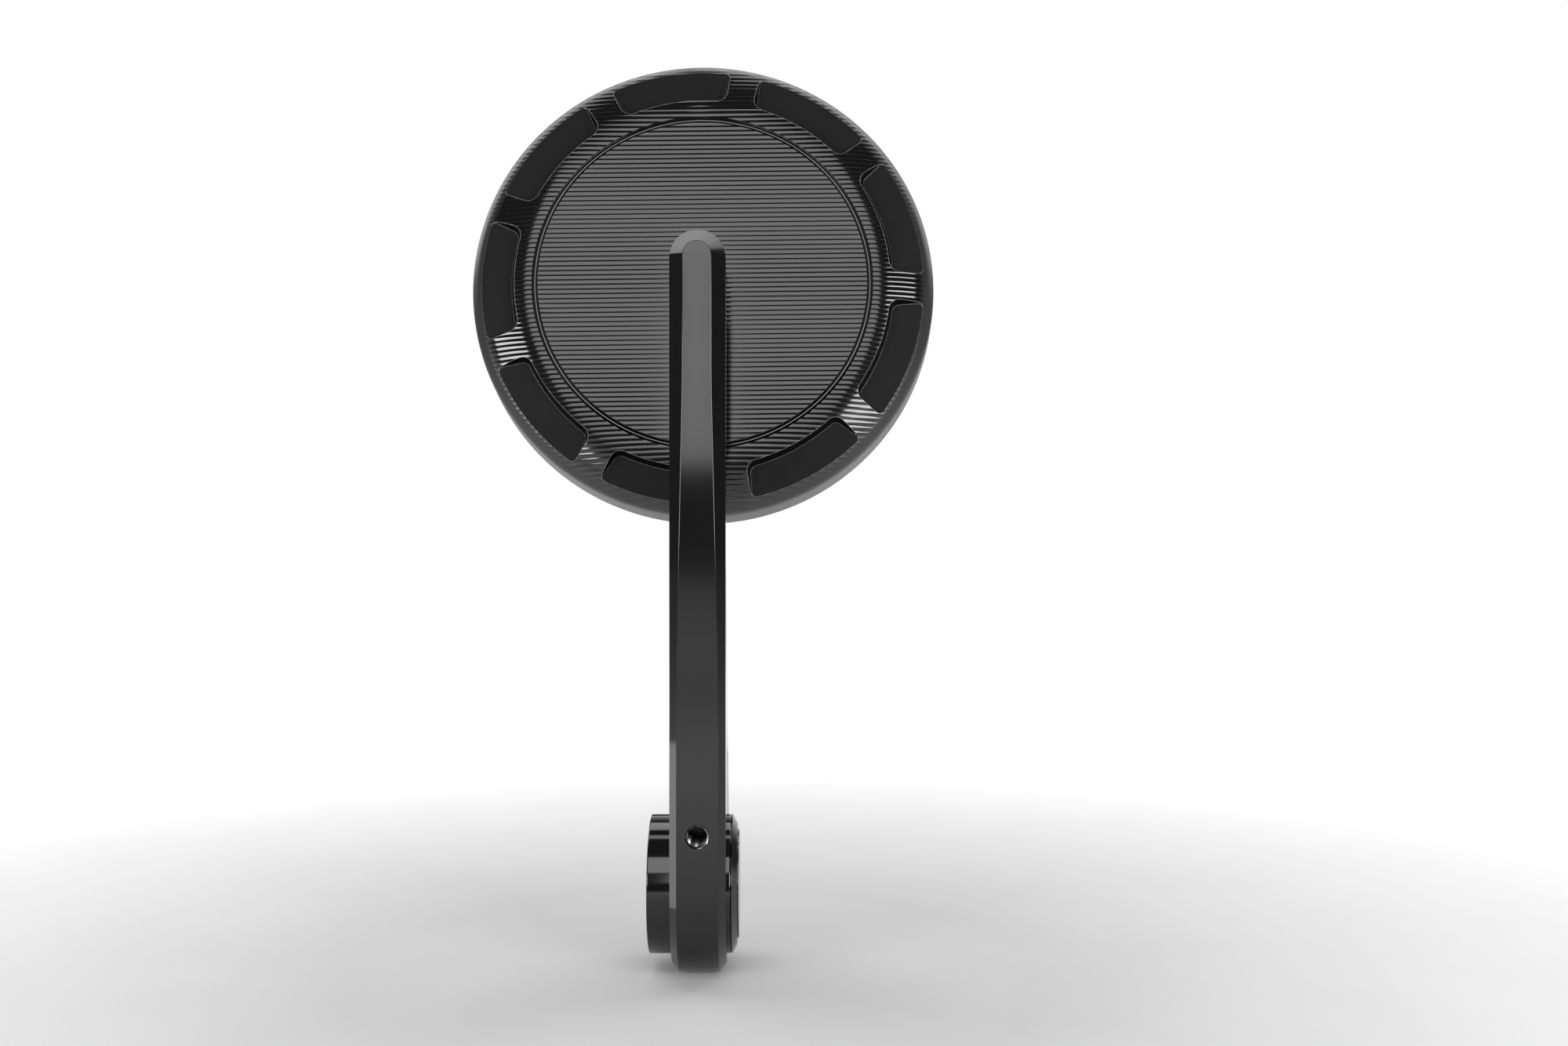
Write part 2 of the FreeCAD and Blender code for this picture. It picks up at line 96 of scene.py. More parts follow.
def rounded(corners, closed=False, steps=ROUND_STEPS):
    """Points of a line through corners (a, b, radius), with an arc at each corner that has a radius."""
    points = []
    count = len(corners)
    for index, (a, b, radius) in enumerate(corners):
        here = Vector((a, b))
        at_end = not closed and index in (0, count - 1)
        if radius == 0 or at_end:
            points.append(here)
            continue
        before = (Vector(corners[index - 1][:2]) - here).normalized()
        after = (Vector(corners[(index + 1) % count][:2]) - here).normalized()
        half_angle = before.angle(after) / 2
        centre = here + (before + after).normalized() * radius / sin(half_angle)
        first = here + before * radius / tan(half_angle) - centre
        last = here + after * radius / tan(half_angle) - centre
        for step in range(steps + 1):
            share = step / steps
            points.append(centre + first.slerp(last, share).normalized() * radius)
    return points


def offset_loop(points, distance):
    """A closed loop moved outwards by distance, for a loop that runs anticlockwise."""
    moved = []
    for index, here in enumerate(points):
        incoming = (here - points[index - 1]).normalized()
        outgoing = (points[(index + 1) % len(points)] - here).normalized()
        normal = Vector((incoming.y + outgoing.y, -incoming.x - outgoing.x)).normalized()
        lean = normal.dot(Vector((incoming.y, -incoming.x)))
        moved.append(here + normal * distance / lean)
    return moved


# %% Helpers for meshes
WELD_DISTANCE = 2e-7


def mesh_object(name, points, faces, place=None):
    """A closed mesh object from points in millimetres, with its faces turned outwards."""
    work = bmesh.new()
    matrix = place or Matrix.Identity(4)
    made = [work.verts.new((matrix @ Vector(point)) * MM) for point in points]
    for face in faces:
        ring = [made[index] for index in dict.fromkeys(face)]
        if len(ring) > 2:
            work.faces.new(ring)
    bmesh.ops.remove_doubles(work, verts=work.verts, dist=WELD_DISTANCE)
    loose = [vert for vert in work.verts if not vert.link_faces]
    bmesh.ops.delete(work, geom=loose, context="VERTS")
    bmesh.ops.recalc_face_normals(work, faces=work.faces)
    if work.calc_volume(signed=True) < 0:
        bmesh.ops.reverse_faces(work, faces=work.faces)
    open_edges = sum(not edge.is_manifold for edge in work.edges)
    mesh = bpy.data.meshes.new(name)
    work.to_mesh(mesh)
    work.free()
    made_object = bpy.data.objects.new(name, mesh)
    bpy.context.scene.collection.objects.link(made_object)
    if open_edges:
        print(name, "has open edges:", open_edges)
    return made_object


def about_x(radius, along, angle):
    """A point round the axis of the clamp bore."""
    return Vector((along, radius * cos(angle), radius * sin(angle)))


def about_y(radius, along, angle):
    """A point round the Y axis."""
    return Vector((radius * cos(angle), along, radius * sin(angle)))


def lathe(name, profile, point_at, segments=96, place=None, closed=False):
    """A turned solid: the profile of (radius, along) goes round point_at's axis."""
    points = []
    faces = []
    size = len(profile)
    for turn in range(segments):
        angle = 2 * pi * turn / segments
        points.extend(point_at(radius, along, angle) for radius, along in profile)
    for turn in range(segments):
        here = turn * size
        there = (turn + 1) % segments * size
        for index in range(size if closed else size - 1):
            after = (index + 1) % size
            faces.append((here + index, here + after, there + after, there + index))
    return mesh_object(name, points, faces, place)


def loft(name, rings, place=None):
    """A solid between rings of points with the same count, closed at both ends."""
    size = len(rings[0])
    points = [point for ring in rings for point in ring]
    faces = [tuple(range(size)), tuple(range(len(points) - size, len(points)))]
    for level in range(len(rings) - 1):
        here = level * size
        for index in range(size):
            after = (index + 1) % size
            faces.append((here + index, here + after, here + size + after, here + size + index))
    return mesh_object(name, points, faces, place)


# %% Helpers for cuts and shading
SHARP_ANGLE = radians(28)
FLAT_WEIGHT = 100


def combine(target, other, operation, material=None):
    """Adds other to target, or cuts it out of it; other's faces keep other's material."""
    if material:
        other.data.materials.append(material)
    modifier = target.modifiers.new(other.name, "BOOLEAN")
    modifier.operation = operation
    modifier.solver = "MANIFOLD"
    modifier.object = other
    modifier.material_mode = "TRANSFER"
    view = bpy.context.evaluated_depsgraph_get()
    mesh = bpy.data.meshes.new_from_object(target.evaluated_get(view))
    target.modifiers.clear()
    target.data = mesh
    print(target.name, operation.lower(), other.name)
    bpy.data.objects.remove(other)


def finish_piece(piece, body, node, sharp_angle=SHARP_ANGLE):
    """Smooth shading with flat faces kept flat, then the piece takes its place in the frame."""
    mesh = piece.data
    mesh.shade_smooth()
    mesh.set_sharp_from_angle(angle=sharp_angle)
    weighted = piece.modifiers.new("weighted", "WEIGHTED_NORMAL")
    weighted.weight = FLAT_WEIGHT
    weighted.keep_sharp = True
    view = bpy.context.evaluated_depsgraph_get()
    piece.data = bpy.data.meshes.new_from_object(piece.evaluated_get(view))
    piece.modifiers.clear()
    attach(piece, body)
    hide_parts(node)
    piece.data.calc_loop_triangles()
    print(piece.name, "triangles:", len(piece.data.loop_triangles))


# %% [markdown]
# ## Effects shared by the finishes
# Four effects come back in several finishes. Uneven dye makes an anodised surface a little lighter and
# rougher in places. Tool marks are fine lines, one after the other along an axis. Dust is a few small pale
# specks. Worn edges are partly painted light: bare-metal grey is painted at half strength along every edge,
# as a painted highlight on the small edge break, and at full strength in small chips where the finish has
# worn through. They could be painted into each material by hand, but a node group is built once and placed
# in each material with its own values. A group gives only colours, masks, values and normals, and the
# shader stays in the material.
# %% Helpers for node trees
def group_tree(name, inputs, outputs):
    """An empty node group with its sockets, and its two ends."""
    tree = bpy.data.node_groups.new(name, "ShaderNodeTree")
    for socket_name, kind, value in inputs:
        socket = tree.interface.new_socket(socket_name, in_out="INPUT", socket_type=kind)
        if value is not None:
            socket.default_value = value
    for socket_name, kind in outputs:
        tree.interface.new_socket(socket_name, in_out="OUTPUT", socket_type=kind)
    start = tree.nodes.new("NodeGroupInput")
    end = tree.nodes.new("NodeGroupOutput")
    return tree, start, end


def add(tree, kind, **values):
    """A node with its properties and its unlinked inputs set."""
    node = tree.nodes.new(kind)
    for key, value in values.items():
        if key in node.bl_rna.properties:
            setattr(node, key, value)
        else:
            node.inputs[key.replace("_", " ")].default_value = value
    return node


def math_node(tree, operation, first, second=0.0):
    """A math node whose inputs are sockets or plain numbers."""
    node = add(tree, "ShaderNodeMath", operation=operation)
    for socket, value in zip(node.inputs, (first, second)):
        if isinstance(value, (int, float)):
            socket.default_value = value
        else:
            tree.links.new(value, socket)
    return node.outputs[0]


def ramp(tree, factor, low, high, to_low=0.0, to_high=1.0):
    """A value that goes from to_low to to_high, as factor goes from low to high."""
    node = add(tree, "ShaderNodeMapRange", From_Min=low, From_Max=high, To_Min=to_low, To_Max=to_high)
    tree.links.new(factor, node.inputs["Value"])
    return node.outputs["Result"]


# %% Uneven dye
FLOAT = "NodeSocketFloat"
COLOUR = "NodeSocketColor"
VECTOR = "NodeSocketVector"

dye, dye_in, dye_out = group_tree(
    "uneven_dye",
    [("Vector", VECTOR, None), ("Colour", COLOUR, None), ("Roughness", FLOAT, 0.2), ("Amount", FLOAT, 0.15)],
    [("Colour", COLOUR), ("Roughness", FLOAT), ("Height", FLOAT)],
)
clouds = add(dye, "ShaderNodeTexNoise", Scale=90.0, Detail=4.0, Roughness=0.55)
grain = add(dye, "ShaderNodeTexNoise", Scale=5200.0, Detail=2.0, Roughness=0.5)
for texture in (clouds, grain):
    dye.links.new(dye_in.outputs["Vector"], texture.inputs["Vector"])
signed_clouds = math_node(dye, "SUBTRACT", clouds.outputs["Fac"], 0.5)
swing = math_node(dye, "MULTIPLY", signed_clouds, dye_in.outputs["Amount"])
factor = math_node(dye, "ADD", math_node(dye, "MULTIPLY", swing, 2.0), 1.0)
tint = add(dye, "ShaderNodeVectorMath", operation="SCALE")
dye.links.new(dye_in.outputs["Colour"], tint.inputs[0])
dye.links.new(factor, tint.inputs["Scale"])
dye.links.new(tint.outputs["Vector"], dye_out.inputs["Colour"])
dye.links.new(math_node(dye, "MULTIPLY", dye_in.outputs["Roughness"], factor), dye_out.inputs["Roughness"])
dye.links.new(grain.outputs["Fac"], dye_out.inputs["Height"])
print("group", dye.name)

# %% Tool marks
marks, marks_in, marks_out = group_tree(
    "tool_marks",
    [("Vector", VECTOR, None), ("Position", FLOAT, 0.0), ("Lines per metre", FLOAT, 4000.0)],
    [("Height", FLOAT)],
)
lines = math_node(marks, "MULTIPLY", marks_in.outputs["Position"], marks_in.outputs["Lines per metre"])
line_noise = add(marks, "ShaderNodeTexNoise", noise_dimensions="1D", Scale=1.0, Detail=3.0, Roughness=0.7)
marks.links.new(lines, line_noise.inputs["W"])
patch = add(marks, "ShaderNodeTexNoise", Scale=140.0, Detail=1.0)
marks.links.new(marks_in.outputs["Vector"], patch.inputs["Vector"])
strength = ramp(marks, patch.outputs["Fac"], low=0.35, high=0.65, to_low=0.4, to_high=1.0)
height = math_node(marks, "MULTIPLY", line_noise.outputs["Fac"], strength)
marks.links.new(height, marks_out.inputs["Height"])
print("group", marks.name)

# %% Dust
dust, dust_in, dust_out = group_tree(
    "dust",
    [("Vector", VECTOR, None), ("Specks per metre", FLOAT, 260.0), ("Share", FLOAT, 0.1)],
    [("Mask", FLOAT)],
)
cells = add(dust, "ShaderNodeTexVoronoi", feature="F1")
dust.links.new(dust_in.outputs["Vector"], cells.inputs["Vector"])
dust.links.new(dust_in.outputs["Specks per metre"], cells.inputs["Scale"])
chance = add(dust, "ShaderNodeSeparateColor")
dust.links.new(cells.outputs["Color"], chance.inputs["Color"])
kept = math_node(dust, "LESS_THAN", chance.outputs["Red"], dust_in.outputs["Share"])
speck_size = ramp(dust, chance.outputs["Green"], low=0.0, high=1.0, to_low=0.012, to_high=0.04)
spot = math_node(dust, "LESS_THAN", cells.outputs["Distance"], speck_size)
dust.links.new(math_node(dust, "MULTIPLY", kept, spot), dust_out.inputs["Mask"])
print("group", dust.name)

# %% Worn edges and painted edge highlight
worn_and_lit, worn_and_lit_in, worn_and_lit_out = group_tree(
    "worn_and_highlighted_edges",
    [("Vector", VECTOR, None), ("Radius", FLOAT, 0.0002), ("Share", FLOAT, 0.5)],
    [("Mask", FLOAT), ("Normal", VECTOR)],
)
edge = add(worn_and_lit, "ShaderNodeBevel", samples=4)
worn_and_lit.links.new(worn_and_lit_in.outputs["Radius"], edge.inputs["Radius"])
facing = add(worn_and_lit, "ShaderNodeVectorMath", operation="DOT_PRODUCT")
worn_and_lit.links.new(edge.outputs["Normal"], facing.inputs[0])
worn_and_lit.links.new(add(worn_and_lit, "ShaderNodeNewGeometry").outputs["Normal"], facing.inputs[1])
near_edge = ramp(worn_and_lit, facing.outputs["Value"], low=0.985, high=0.93)
chips = add(worn_and_lit, "ShaderNodeTexNoise", Scale=2200.0, Detail=2.0)
worn_and_lit.links.new(worn_and_lit_in.outputs["Vector"], chips.inputs["Vector"])
bare = math_node(worn_and_lit, "LESS_THAN", chips.outputs["Fac"], worn_and_lit_in.outputs["Share"])
# Every edge gets half the bare-metal grey as a painted highlight, and worn chips get all of it.
highlight_and_chips = ramp(worn_and_lit, bare, low=0.0, high=1.0, to_low=0.5, to_high=1.0)
worn_and_lit.links.new(math_node(worn_and_lit, "MULTIPLY", near_edge, highlight_and_chips), worn_and_lit_out.inputs["Mask"])
worn_and_lit.links.new(edge.outputs["Normal"], worn_and_lit_out.inputs["Normal"])
print("group", worn_and_lit.name)

# %% [markdown]
# ## Finishes
# Black anodising is a clear oxide layer over dyed aluminium. It takes almost all light in, and what is left
# is the reflection on the oxide's surface. A dark metal would tint and dim that reflection, so the finish is
# a very dark body with a clear reflection. The finishes differ in how sharp that reflection is: gloss on the
# arm and the ridges, satin round the rim, and dull on the floors of the pockets.
# %% Helpers for finishes
def rest_place(tree):
    """The point on the piece at rest, so that marks stay on a piece that moves."""
    return add(tree, "ShaderNodeTexCoord").outputs["Object"]


def effect(tree, group, **values):
    """A shared effect placed in a material, with this material's values."""
    node = add(tree, "ShaderNodeGroup", node_tree=group, **values)
    tree.links.new(rest_place(tree), node.inputs["Vector"])
    return node


def shader_of(material):
    """The material's own shader."""
    return material.node_tree.nodes["Principled BSDF"]


def mix_into(tree, socket, value, share):
    """Mixes a colour or a number into what already feeds this socket, by share."""
    if socket.type == "RGBA":
        mix = add(tree, "ShaderNodeMix", data_type="RGBA")
        first, second, result = mix.inputs[6], mix.inputs[7], mix.outputs[2]
    else:
        mix = add(tree, "ShaderNodeMix", data_type="FLOAT")
        first, second, result = mix.inputs[2], mix.inputs[3], mix.outputs[0]
    tree.links.new(share, mix.inputs[0])
    tree.links.new(socket.links[0].from_socket, first)
    second.default_value = value
    tree.links.new(result, socket)


def plain(name, colour, metallic, grain_height, roughness, uneven):
    """A finish whose colour, gloss and fine grain vary a little over the surface."""
    material = bpy.data.materials.new(name)
    material.use_nodes = True
    tree = material.node_tree
    shader = shader_of(material)
    skin = effect(tree, dye, Colour=(*colour, 1.0), Roughness=roughness, Amount=uneven)
    tree.links.new(skin.outputs["Colour"], shader.inputs["Base Color"])
    tree.links.new(skin.outputs["Roughness"], shader.inputs["Roughness"])
    shader.inputs["Metallic"].default_value = metallic
    bump = add(tree, "ShaderNodeBump", name="grain", Strength=1.0, Distance=grain_height)
    tree.links.new(skin.outputs["Height"], bump.inputs["Height"])
    tree.links.new(bump.outputs["Normal"], shader.inputs["Normal"])
    return material


# %% Helpers for anodised finishes
OXIDE_IOR = 1.6
DUST_COLOUR = (0.32, 0.32, 0.33, 1.0)
# Bare-metal grey, painted along edges as a highlight and showing in worn chips.
BARE_METAL_AND_HIGHLIGHT = (0.45, 0.45, 0.46, 1.0)
METAL = 1.0
NOT_METAL = 0.0


def anodised(name, colour, grain_height, roughness, uneven, dusty):
    """A black anodised finish with a little dust on it."""
    material = plain(name, colour, NOT_METAL, grain_height, roughness, uneven)
    tree = material.node_tree
    shader = shader_of(material)
    shader.inputs["IOR"].default_value = OXIDE_IOR
    specks = effect(tree, dust, Share=dusty)
    mix_into(tree, shader.inputs["Base Color"], DUST_COLOUR, specks.outputs["Mask"])
    return material


def score(material, axis, lines, depth):
    """Fine tool marks over a finish, one after the other along this axis."""
    tree = material.node_tree
    place = add(tree, "ShaderNodeSeparateXYZ")
    tree.links.new(rest_place(tree), place.inputs["Vector"])
    tool = effect(tree, marks, Lines_per_metre=lines)
    tree.links.new(place.outputs[axis], tool.inputs["Position"])
    scored = add(tree, "ShaderNodeBump", Strength=1.0, Distance=depth)
    tree.links.new(tool.outputs["Height"], scored.inputs["Height"])
    tree.links.new(tree.nodes["grain"].outputs["Normal"], scored.inputs["Normal"])
    tree.links.new(scored.outputs["Normal"], shader_of(material).inputs["Normal"])


def wear_and_highlight(material, radius, share, soften):
    """Paints bare-metal grey as an edge highlight, full in worn chips, and softens edges for light if asked."""
    tree = material.node_tree
    rubbed_and_lit = effect(tree, worn_and_lit, Radius=radius, Share=share)
    mix_into(tree, shader_of(material).inputs["Base Color"], BARE_METAL_AND_HIGHLIGHT, rubbed_and_lit.outputs["Mask"])
    if soften:
        tree.links.new(rubbed_and_lit.outputs["Normal"], tree.nodes["grain"].inputs["Normal"])


def satin_beyond(material, start, end, colour, roughness):
    """Turns a finish to satin from one distance off the head's axis to another, in metres."""
    tree = material.node_tree
    shader = shader_of(material)
    from_ball = add(tree, "ShaderNodeVectorMath", operation="SUBTRACT")
    tree.links.new(rest_place(tree), from_ball.inputs[0])
    from_ball.inputs[1].default_value = ball * MM
    across = add(tree, "ShaderNodeVectorMath", operation="CROSS_PRODUCT")
    tree.links.new(from_ball.outputs["Vector"], across.inputs[0])
    across.inputs[1].default_value = head_axis
    distance = add(tree, "ShaderNodeVectorMath", operation="LENGTH")
    tree.links.new(across.outputs["Vector"], distance.inputs[0])
    share = ramp(tree, distance.outputs["Value"], start, end)
    mix_into(tree, shader.inputs["Base Color"], (*colour, 1.0), share)
    mix_into(tree, shader.inputs["Roughness"], roughness, share)


# %% Anodised finishes
BLACK = (0.002, 0.002, 0.0022)
POCKET_GREY = (0.005, 0.005, 0.0052)
SATIN_GREY = (0.03, 0.03, 0.031)
SCREW_GREY = (0.012, 0.012, 0.013)
GLOSS = 0.1
FINE_GRAIN = 1e-7
COARSE_GRAIN = 1e-6
WEAR_AND_HIGHLIGHT_RADIUS = 0.00022
WEAR_SHARE = 0.42
POCKET_SHINE = 0.12

arm_black = anodised("satin_black_anodised", BLACK, FINE_GRAIN, roughness=GLOSS, uneven=0.12, dusty=0.06)
score(arm_black, "Z", lines=5000.0, depth=2e-7)
turned_black = anodised("turned_black_anodised", BLACK, FINE_GRAIN, roughness=GLOSS, uneven=0.12, dusty=0.05)
score(turned_black, "X", lines=6000.0, depth=3e-7)
ridged_black = anodised("ridged_black_anodised", BLACK, FINE_GRAIN, roughness=GLOSS, uneven=0.15, dusty=0.03)
land_black = anodised("land_black_anodised", BLACK, FINE_GRAIN, roughness=GLOSS, uneven=0.15, dusty=0.03)
for material in (ridged_black, land_black):
    score(material, "X", lines=6000.0, depth=6e-7)
satin_beyond(land_black, start=0.0500, end=0.0524, colour=SATIN_GREY, roughness=0.35)
# The lands get a painted edge highlight and worn chips along their edges.
wear_and_highlight(land_black, WEAR_AND_HIGHLIGHT_RADIUS, WEAR_SHARE, soften=False)
pocket_black = anodised("pocket_black_anodised", POCKET_GREY, COARSE_GRAIN,
                        roughness=0.6, uneven=0.2, dusty=0.2)
shader_of(pocket_black).inputs["Specular IOR Level"].default_value = POCKET_SHINE
wall_black = anodised("pocket_wall_anodised", BLACK, FINE_GRAIN, roughness=0.2, uneven=0.2, dusty=0.3)
# The pocket walls get the same painted edge highlight and chips, with edges softened for light.
wear_and_highlight(wall_black, WEAR_AND_HIGHLIGHT_RADIUS, WEAR_SHARE, soften=True)
screw_black = anodised("black_screw_steel", SCREW_GREY, COARSE_GRAIN, roughness=0.3, uneven=0.2, dusty=0.05)
print("anodised finishes:", [m.name for m in (arm_black, turned_black, ridged_black, land_black)],
      [m.name for m in (pocket_black, wall_black, screw_black)])

# %% [markdown]
# ## Bare and plated finishes
# The pieces of the joint are plated or hardened steel and moulded nylon, the glass is silvered, and foam
# tape holds it. A thread cut after the dye and the turned line in the ring groove show the aluminium itself.
# %% Bare and plated finishes
NO_GRAIN = 0.0
PLATED_GRAIN = 2e-6
FOAM_GRAIN = 2e-5
bare_thread = plain("bare_thread", (0.32, 0.32, 0.33), METAL, FINE_GRAIN, roughness=0.3, uneven=0.1)
bright_cut = plain("bright_cut_line", (0.08, 0.08, 0.082), METAL, FINE_GRAIN, roughness=0.15, uneven=0.1)
zinc = plain("plated_steel", (0.55, 0.56, 0.58), METAL, PLATED_GRAIN, roughness=0.28, uneven=0.1)
spring = plain("spring_steel", (0.35, 0.36, 0.38), METAL, PLATED_GRAIN, roughness=0.35, uneven=0.1)
nylon = plain("nylon", (0.72, 0.71, 0.66), NOT_METAL, PLATED_GRAIN, roughness=0.45, uneven=0.05)
foam = plain("foam_tape", (0.03, 0.03, 0.03), NOT_METAL, FOAM_GRAIN, roughness=0.9, uneven=0.3)
silver = plain("silvered_glass", (0.86, 0.88, 0.9), METAL, NO_GRAIN, roughness=0.015, uneven=0.02)
print("other finishes:", [m.name for m in (bare_thread, bright_cut, zinc, spring, nylon, foam, silver)])

# %% [markdown]
# ## The housing's ridged back
# The back is turned to a flat that rolls over a shoulder to the rim, and is then milled with a round tool in
# straight passes. Each pass leaves a shallow hollow a little over a millimetre wide, and two hollows meet in
# a sharp crest, over the flat and the shoulder alike. A bump could draw them, but they carry most of the
# light and show at the outline, so they are real geometry: the mesh has rows along the passes, several for
# each, and each row runs over the shoulder's profile.
# %% Sizes of the housing
BACK_PLANE = -3.816
FLAT_RADIUS = 39.5
RIM_RADIUS = 53.8
SHOULDER_DEPTH = 7.2
RIM_ROUND = 4.6
LAND_START = 41.0
RIDGE_PITCH = 1.09
RIDGE_START = 0.62
RIDGE_LEAN = radians(0.78)
PASS_ANGLE = radians(11)
CREST_ANGLE = radians(9.5)
pass_depth = RIDGE_PITCH * tan(PASS_ANGLE) / 4

roll = RIM_RADIUS - FLAT_RADIUS
wide_round = (roll**2 + SHOULDER_DEPTH**2 - 2 * roll * RIM_ROUND) / (2 * (SHOULDER_DEPTH - RIM_ROUND))
roll_turn = atan2(roll - RIM_ROUND, wide_round - SHOULDER_DEPTH)
seam_edge = BACK_PLANE + SHOULDER_DEPTH
print("wide arc", round(wide_round, 2), "turns", round(degrees(roll_turn), 1), "degrees")


def shoulder_point(angle):
    """Radius and depth on the shoulder where its surface leans by angle."""
    if angle <= roll_turn:
        radius = FLAT_RADIUS + wide_round * sin(angle)
        depth = wide_round * (1 - cos(angle))
    else:
        radius = RIM_RADIUS - RIM_ROUND + RIM_ROUND * sin(angle)
        depth = SHOULDER_DEPTH - RIM_ROUND * cos(angle)
    return radius, BACK_PLANE + depth


def shoulder_lean(radius):
    """How far the surface leans at this radius, in radians."""
    if radius <= FLAT_RADIUS:
        return 0.0
    switch = FLAT_RADIUS + wide_round * sin(roll_turn)
    if radius <= switch:
        return asin((radius - FLAT_RADIUS) / wide_round)
    return asin(min((radius - RIM_RADIUS + RIM_ROUND) / RIM_ROUND, 1.0))


def ridge_height(along):
    """Height of the ridges, for a place across them: hollow passes that meet in sharp crests."""
    share = (along - RIDGE_START) / RIDGE_PITCH % 1.0
    return -pass_depth * (1 - (2 * share - 1)**2)


FADE_SIDE = 33.0
FADE_TOP = 66.0
FADE_FOOT = 66.0
FADE_HALF = 6.0
TOP_FROM = 0.15
TOP_SPAN = 0.55
FOOT_FROM = 0.6
FOOT_SPAN = 0.35


def limited(share):
    """A share kept between nothing and all."""
    return max(0.0, min(share, 1.0))


def ridge_end(upward):
    """The lean in degrees at which the ridges end: late at the head's top and foot, early at its sides."""
    if upward > 0:
        return FADE_SIDE + (FADE_TOP - FADE_SIDE) * limited((upward - TOP_FROM) / TOP_SPAN)
    return FADE_SIDE + (FADE_FOOT - FADE_SIDE) * limited((-upward - FOOT_FROM) / FOOT_SPAN)


def ridge_fade(lean, upward):
    """How much of the ridges is left at this lean."""
    return limited((ridge_end(upward) + FADE_HALF - degrees(lean)) / (2 * FADE_HALF))


# %% Rows and columns of the ridged back
PASS_ROWS = 6
FLAT_STEPS = 8
LEAN_STEPS = ((0, 24, 8), (24, 36, 8), (36, 90, 9))
POLE_STEP = radians(1.2)
POLE_ROWS = 11
POLE_GAP = 0.002
ROW_DIGITS = 6

rows = set()
last_pass = ceil(RIM_RADIUS / RIDGE_PITCH)
for number in range(-last_pass, last_pass + 1):
    for part in range(PASS_ROWS):
        rows.add(round(RIDGE_START + (number + part / PASS_ROWS) * RIDGE_PITCH, ROW_DIGITS))
for step in range(1, POLE_ROWS + 1):
    pole_row = round(RIM_RADIUS * cos(step * POLE_STEP), ROW_DIGITS)
    rows.update((pole_row, -pole_row))
rows = sorted(row for row in rows if abs(row) < RIM_RADIUS - POLE_GAP)
rows = [-RIM_RADIUS] + rows + [RIM_RADIUS]
columns = [FLAT_RADIUS * step / FLAT_STEPS for step in range(FLAT_STEPS + 1)]
for low, high, steps in LEAN_STEPS:
    leans = [radians(low + (high - low) * (step + 1) / steps) for step in range(steps)]
    columns += [shoulder_point(lean)[0] for lean in leans]
print("ridged back:", len(rows), "rows,", 2 * len(columns) - 1, "columns")


# %% Ridged back as a solid
def back_point(radius, row):
    """A point on the back at this radius and row, moved by the ridges along the surface's normal."""
    lean = shoulder_lean(radius)
    depth = shoulder_point(lean)[1] if lean > 0 else BACK_PLANE
    lift = ridge_height(row) * ridge_fade(lean, row / RIM_RADIUS)
    across = sqrt(max(radius**2 - row**2, 0.0))
    outward = Vector((across, 0.0, row)).normalized() * sin(lean) if radius > 0 else Vector()
    normal = outward + Vector((0.0, -cos(lean), 0.0))
    return Vector((across, depth, row)) + normal * lift


points = []
grid = []
for row in rows:
    half = []
    for radius in columns:
        reach = min(max(radius, abs(row)), RIM_RADIUS)
        half.append(back_point(reach, row))
    line = [Vector((-p.x, p.y, p.z)) for p in reversed(half[1:])] + half
    grid.append(range(len(points), len(points) + len(line)))
    points.extend(line)
faces = []
for lower, upper in zip(grid, grid[1:]):
    for a, b, c, d in zip(lower, lower[1:], upper[1:], upper):
        faces.append((a, b, c, d))
print("back grid:", len(points), "points")

# %% [markdown]
# ## The housing's side, groove and pockets
# Below the ridges a thin seam runs round the rim, and the rim flares a little to the front edge. The back's
# grid is joined to rings that follow this side, so the housing stays one closed solid. The ring groove is
# turned, so it is a lathe cut, with a narrow floor that shines. The nine pockets are milled with a tapered
# cutter: the floor has rounded corners, the walls lean out, and a small fillet joins them. They are cut by
# booleans, which also carry the finish of each cut.
# %% Side of the housing
SEAM_DEPTH = 0.5
SEAM_WIDTH = 0.5
FRONT_RADIUS = 54.35
FRONT_EDGE = 12.5
FRONT_BREAK = 0.8
FRONT_ROUND = 0.4
MOUTH_ROUND = 0.2
LAND = 1
SEAM = 2

side_profile = rounded([
    (RIM_RADIUS, seam_edge, 0),
    (RIM_RADIUS - SEAM_DEPTH, seam_edge + SEAM_WIDTH / 2, 0),
    (RIM_RADIUS, seam_edge + SEAM_WIDTH, 0),
    (FRONT_RADIUS, FRONT_EDGE - FRONT_BREAK, FRONT_ROUND),
    (FRONT_RADIUS - FRONT_BREAK, FRONT_EDGE, MOUTH_ROUND),
    (FRONT_RADIUS - 2 * FRONT_BREAK, FRONT_EDGE, 0),
], steps=FINE_STEPS)
loop = [line[-1] for line in grid] + [line[0] for line in reversed(grid[1:-1])]
angles = [atan2(points[index].z, points[index].x) for index in loop]
rings = [loop]
for radius, along in side_profile[1:]:
    rings.append(range(len(points), len(points) + len(angles)))
    points.extend(about_y(radius, along, angle) for angle in angles)
for upper, lower in zip(rings, rings[1:]):
    for index in range(len(loop)):
        after = (index + 1) % len(loop)
        faces.append((upper[index], upper[after], lower[after], lower[index]))
faces.append(tuple(rings[-1]))
ridged_place = head_place @ Matrix.Rotation(-RIDGE_LEAN, 4, "Y")
housing = mesh_object("housing", points, faces, ridged_place)
for material in (ridged_black, land_black, turned_black):
    housing.data.materials.append(material)
to_head = ridged_place.inverted()
for face in housing.data.polygons:
    centre = to_head @ (face.center / MM)
    if seam_edge < centre.y < seam_edge + SEAM_WIDTH:
        face.material_index = SEAM
    elif hypot(centre.x, centre.z) > LAND_START:
        face.material_index = LAND
print("housing:", len(rings), "rings round the side,", len(housing.data.polygons), "faces")

